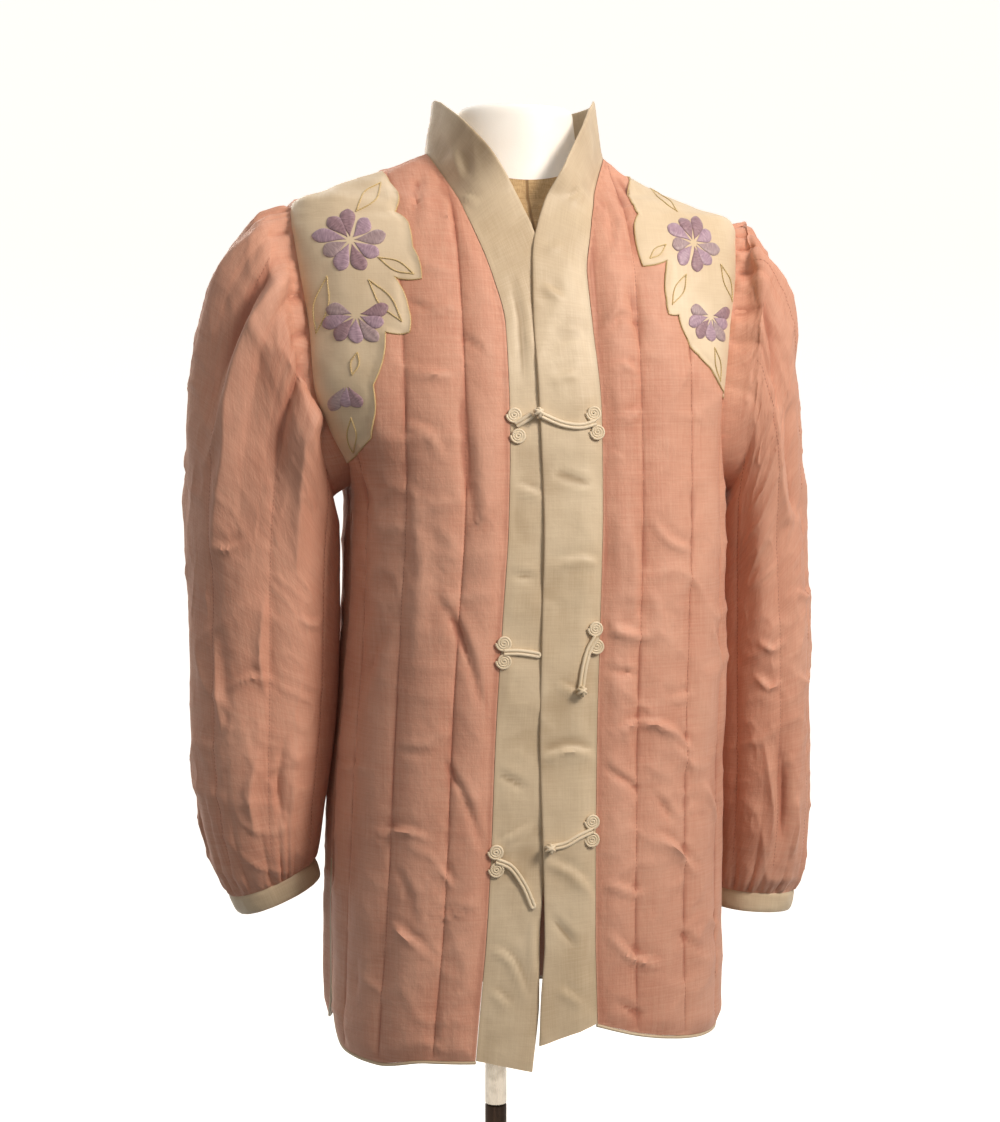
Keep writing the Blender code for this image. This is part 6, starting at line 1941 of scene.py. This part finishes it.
def jacket():
    fronts = {}
    distances = stitch_columns()
    for side in (RIGHT, LEFT):
        word = WORDS[side]
        outline = front_outline(side)
        line, ends = applique_edge(side, outline)
        low, high = sorted(ends)
        edge = outline[low + 1 : high]
        region = np.vstack([line, edge if ends[0] == high else edge[::-1]])
        rise = front_cloth(side, outline, region)
        fronts[side] = rise

        def columns(step, side=side):
            return lambda height: grain_arc(side, np.full(1, float(height)))[0] + side * distances[::step]

        thing = panel(f"front_{word}_quilted", outline, 0.0, columns, rise)
        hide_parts("front_" + word)

        def lines(heights, side=side):
            grain = grain_arc(side, heights)
            return [grain + side * (FIRST_CHANNEL + CHANNEL * k) for k in range(-1, CHANNELS_EACH_SIDE)]

        stitches(f"stitches_front_{word}", panel_runs(outline, 0.0, lines, rise, region))
        vent = int(np.argmax(outline[:, 1] >= VENT_TOP - 1e-6))
        cord = edge_piping(f"piping_front_{word}_satin", outline[: vent + 1], 0.0)
        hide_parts("piping_front_" + word)

        patch = applique(f"applique_{word}_satin", side, region, rise)
        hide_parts("applique_" + word)
        shoulder = Shoulder(side, region, rise)
        petals(shoulder)
        heights = height_of_flat(line[:, 1])
        places = body_point(heights, turn_of(heights, line[:, 0], 0.0))
        leaf_cords(shoulder, np.stack([places[:, 0], places[:, 2]], axis=1)[2:-2] * 1000)

    outline = back_outline()

    def back_columns(step):
        shares = np.array(COLUMN_SHARES)
        starts = range(-CHANNELS_EACH_SIDE, CHANNELS_EACH_SIDE)
        columns = np.concatenate([CHANNEL * (k + shares) for k in starts])
        return lambda height: columns[::step]

    def back_lines(heights):
        return [np.full(len(heights), CHANNEL * k) for k in range(-CHANNELS_EACH_SIDE, CHANNELS_EACH_SIDE)]

    rise = back_cloth(outline)
    stitches("stitches_back", panel_runs(outline, pi, back_lines, rise))
    thing = panel("back_quilted", outline, pi, back_columns, rise)
    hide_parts("back")
    vents = np.nonzero(outline[:, 1] <= VENT_TOP + 1e-6)[0]
    first = int(vents[np.argmax(np.diff(vents))]) if np.diff(vents).max() > 1 else int(vents[-1])
    last = int(vents[np.argmax(np.diff(vents)) + 1])
    cord = edge_piping("piping_back_satin", np.vstack([outline[last:], outline[: first + 1]]), pi)
    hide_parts("piping_back")

    for side, table in ((RIGHT, SLEEVE_RIGHT), (LEFT, SLEEVE_LEFT)):
        word = WORDS[side]
        thing = sleeve(side, table)
        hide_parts("sleeve_" + word)
        thing = cuff(side, table)
        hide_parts("cuff_" + word)
        thing, length = band(side)
        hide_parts("band_" + word)
    for node, side, discs, route, last_lift, has_knot in FROGS:
        frog(node, side, discs, route, last_lift, has_knot, fronts[side])


def loft(name, grid, finish, node, slot):
    """Rings joined into one closed solid; rounder than the solid it replaces, in the same form."""
    rows, columns = grid.shape[:2]
    faces = grid_faces(rows, columns, closed=True)
    points = np.vstack([grid.reshape(-1, 3), grid[:1].mean(axis=1), grid[-1:].mean(axis=1)])
    low, high, last = len(points) - 2, len(points) - 1, (rows - 1) * columns
    for j in range(columns):
        after = (j + 1) % columns
        faces += [(low, after, j), (high, last + j, last + after)]
    thing = add_mesh(name, points, faces, finish)
    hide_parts(node)
    return thing


def neck_ring(turns, row, share):
    """A ring round the form's neck: tilted where it leaves the torso, level at its top."""
    half, front, back = row
    ahead = np.cos(turns)
    foot = NECK_RING_HEIGHT - np.where(ahead > 0, NECK_FRONT_DROP, NECK_BACK_RISE) * ahead
    depth = np.where(ahead >= 0, front, back)
    return np.stack([half * np.sin(turns), -depth * ahead, foot + (NECK_TOP - foot) * share], axis=1)


def form_grid(turns):
    """The torso: its own rings up to the bust, close under the jacket at the shoulders."""
    rows = []
    keys = [row[0] for row in FORM_SECTIONS]
    for height in spread(keys[0], keys[-1], 0.0075):
        half, front, back, rest = curve_rows(keys, [row[1:] for row in FORM_SECTIONS], height)[0]
        across, ahead = np.sin(turns), np.cos(turns)
        own = np.stack(
            [
                half * signed_power(across, 2 / FORM_POWER),
                -np.where(ahead >= 0, front, back) * signed_power(ahead, 2 / FORM_POWER),
                np.full(len(turns), height),
            ],
            axis=1,
        )
        level = np.full(len(turns), height)
        under = body_point(level, turns) - body_normal(level, turns) * FORM_EASE
        rows.append(own * (1 - rest) + under * rest)
    last, neck = rows[-1], neck_ring(turns, NECK_SECTIONS[0][1:], 0.0)
    for k in range(1, FORM_SHOULDER_RINGS):
        share = k / FORM_SHOULDER_RINGS
        slope = last * (1 - share) + neck * share
        slope[:, 2] = last[:, 2] + (neck[:, 2] - last[:, 2]) * share**SHOULDER_HOLLOW
        slope = under_cloth(slope)
        hold = (np.abs(np.sin(turns)) ** RIDGE_HOLD)[:, None]
        rows.append(slope * (1 - hold) + ridge_points(turns, share, neck) * hold)
    return np.array(rows + [neck])


def under_cloth(points):
    """The points, lowered where they must be until they lie well under the jacket's inside."""
    points = points.copy()
    for _ in range(200):
        half_right, half_left, front, back, power = section(points[:, 2] + FORM_EASE)
        half = np.where(points[:, 0] >= 0, half_left, half_right)
        depth = np.where(points[:, 1] <= 0, front, back)
        outside = (np.abs(points[:, 0]) / half) ** power + (np.abs(points[:, 1]) / depth) ** power >= 1
        lower = outside & (points[:, 2] > FORM_SHOULDER)
        if not lower.any():
            break
        points[lower, 2] -= 0.0005
    return points


def ridge_points(turns, share, neck):
    """Points just under the shoulder seams, from their tips to the neck."""
    before_neck = (FORM_SHOULDER_RINGS - 1) / FORM_SHOULDER_RINGS
    side = np.where(np.sin(turns) >= 0, 1.0, -1.0)
    tip = np.where(side > 0, max(TIP_HEIGHTS[LEFT], FORM_SHOULDER), max(TIP_HEIGHTS[RIGHT], FORM_SHOULDER))
    if share > before_neck + 0.01:
        return neck
    height = tip + (NECK_HEIGHT - tip) * share / before_neck
    turn = side * pi / 2
    return body_point(height, turn) - body_normal(height, turn) * FORM_REST_GAP


def turned(name, profile, finish, node, slot):
    """A solid turned about the pole's axis, its profile from the foot up; corners are real."""
    turns = 2 * pi * np.arange(TURNED_AROUND) / TURNED_AROUND
    rings = []
    for r, z in profile:
        rings.append(np.stack([r * np.cos(turns), r * np.sin(turns), np.full(TURNED_AROUND, z)], axis=1))
    grid = np.array(rings) - JACKET_PLACE * (0.0, 0.0, 1.0)
    grid[..., 0] -= JACKET_PLACE[0] - POLE_PLACE
    return loft(name, grid, finish, node, slot)


def stand():
    """The form and its stand, with finer rings than their solids."""
    turns = 2 * pi * np.arange(FORM_AROUND) / FORM_AROUND
    loft("form_torso_linen", form_grid(turns), form_cover(), "form_torso", "form_cover")
    shares = np.linspace(0, 1, 21)
    rows = curve_rows([row[0] for row in NECK_SECTIONS], [row[1:] for row in NECK_SECTIONS], shares)
    rings = np.array([neck_ring(turns, row, share) for row, share in zip(rows, shares)])
    rings[0, :, 2] += SEAM_GAP
    loft("form_neck_block", rings, neck_cap(), "form_neck", "neck_cap")
    dark = steel("dark_metal_worn", "3A2E26", "1D1613", 0.34)
    foot = JACKET_PLACE[2] + FORM_SECTIONS[0][0]
    bright = steel("bright_steel_worn", "B9B2A6", "8E867A", 0.28)
    upper, lower = (POLE_JOINT_HEIGHT + SEAM_GAP, foot - SEAM_GAP), (HUB_HEIGHT + SEAM_GAP, POLE_JOINT_HEIGHT)
    for name, node, slot, (low, high), finish in (
        ("pole_upper_steel", "pole_upper", "bright_steel", upper, bright),
        ("pole_lower_steel", "pole_lower", "dark_metal", lower, dark),
    ):
        chamfer = POLE_RADIUS - POLE_CHAMFER
        profile = [(chamfer, low), (POLE_RADIUS, low + POLE_CHAMFER)]
        profile += [(POLE_RADIUS, high - POLE_CHAMFER), (chamfer, high)]
        turned(name, profile, finish, node, slot)
    edge = BASE_THICKNESS - BASE_FALL
    profile = [(BASE_RADIUS - 0.0010, 0.0), (BASE_RADIUS, 0.0010)]
    for angle in np.linspace(0, pi / 2, 7):
        profile.append((BASE_RADIUS - BASE_ROUND * (1 - cos(angle)), edge - BASE_ROUND * (1 - sin(angle))))
    profile.append((HUB_RADIUS + HUB_FILLET + 0.02, BASE_THICKNESS))
    for angle in np.linspace(0, pi / 2, 7):
        wide = HUB_RADIUS + HUB_FILLET * (1 - sin(angle))
        profile.append((wide, BASE_THICKNESS + HUB_FILLET * (1 - cos(angle))))
    for angle in np.linspace(0, pi / 2, 7):
        wide = HUB_RADIUS - BASE_ROUND * (1 - cos(angle))
        profile.append((wide, HUB_HEIGHT - BASE_ROUND * (1 - sin(angle))))
    turned("base_steel", profile, dark, "base", "dark_metal")


FLOOR_AROUND = 96
# Area lights: name, place, what they aim at, size, power, tint
LIGHTS = (
    ("key", (1.10, -1.45, 2.15), (0.0, 0.0, 1.15), 0.60, 39.0, "FFF3E6"),
    ("fill", (-1.1, -2.3, 2.3), (0.0, 0.0, 1.25), 0.9, 7.5, "FFE8D0"),
    ("top", (0.3, 0.5, 2.9), (0.0, 0.0, 1.0), 1.0, 7.0, "FFFFFF"),
    ("back", (-0.9, 2.3, 2.3), (0.0, 0.0, 1.1), 1.2, 24.0, "FFF6EA"),
)
CAMERA_LENS = 66.74
CAMERA_SENSOR = 36.0
CAMERA_PLACE = (-0.3699, -1.7579, 1.175)
CAMERA_TILT = radians(85.7)
CAMERA_TURN = radians(-12.0)


def studio():
    """A pale round floor that curves up into a wall, soft lights and the camera."""
    floor = bpy.data.meshes.new("floor")
    profile = [(0.0, 0.0), (STUDIO_RADIUS - STUDIO_COVE, 0.0)]
    for angle in np.linspace(0.05, pi / 2, 20):
        profile.append((STUDIO_RADIUS - STUDIO_COVE * (1 - sin(angle)), STUDIO_COVE * (1 - cos(angle))))
    profile.append((STUDIO_RADIUS, STUDIO_HEIGHT))
    turns = 2 * pi * np.arange(FLOOR_AROUND) / FLOOR_AROUND
    points = [(r * cos(turn), r * sin(turn), z) for r, z in profile[1:] for turn in turns] + [(0.0, 0.0, 0.0)]
    faces = [face[::-1] for face in grid_faces(len(profile) - 1, FLOOR_AROUND, closed=True)]
    faces += [(len(points) - 1, j, (j + 1) % FLOOR_AROUND) for j in range(FLOOR_AROUND)]
    floor.from_pydata(points, [], faces)
    floor.shade_smooth()
    floor.materials.append(stage_paint())
    thing = bpy.data.objects.new("floor", floor)
    bpy.context.scene.collection.objects.link(thing)
    thing.visible_diffuse = False
    thing.visible_shadow = False

    world = bpy.data.worlds.new("studio")
    world.use_nodes = True
    tree = world.node_tree
    split = tree.nodes.new("ShaderNodeSeparateXYZ")
    tree.links.new(tree.nodes.new("ShaderNodeTexCoord").outputs["Generated"], split.inputs[0])
    ramp = tree.nodes.new("ShaderNodeMapRange")
    tree.links.new(split.outputs[2], ramp.inputs["Value"])
    for socket, value in (("From Min", -0.5), ("From Max", 1.0), ("To Min", 0.04), ("To Max", 0.44)):
        ramp.inputs[socket].default_value = value
    tree.nodes["Background"].inputs[0].default_value = linear("FFFAF3")
    tree.links.new(ramp.outputs[0], tree.nodes["Background"].inputs[1])
    bpy.context.scene.world = world
    for name, place, aim, size, power, tint in LIGHTS:
        light = bpy.data.lights.new(name, "AREA")
        light.energy, light.size, light.color = power, size, linear(tint)[:3]
        lamp = bpy.data.objects.new(name, light)
        lamp.location = place
        lamp.rotation_euler = (Vector(aim) - Vector(place)).to_track_quat("-Z", "Y").to_euler()
        bpy.context.scene.collection.objects.link(lamp)

    camera = bpy.data.cameras.new("camera")
    camera.lens = CAMERA_LENS
    camera.sensor_width = CAMERA_SENSOR
    eye = bpy.data.objects.new("camera", camera)
    eye.location = CAMERA_PLACE
    eye.rotation_euler = (CAMERA_TILT, 0.0, CAMERA_TURN)
    bpy.context.scene.collection.objects.link(eye)
    bpy.context.scene.camera = eye
    bpy.context.scene.view_settings.view_transform = "Standard"


jacket()
stand()
studio()

bpy.context.view_layer.update()
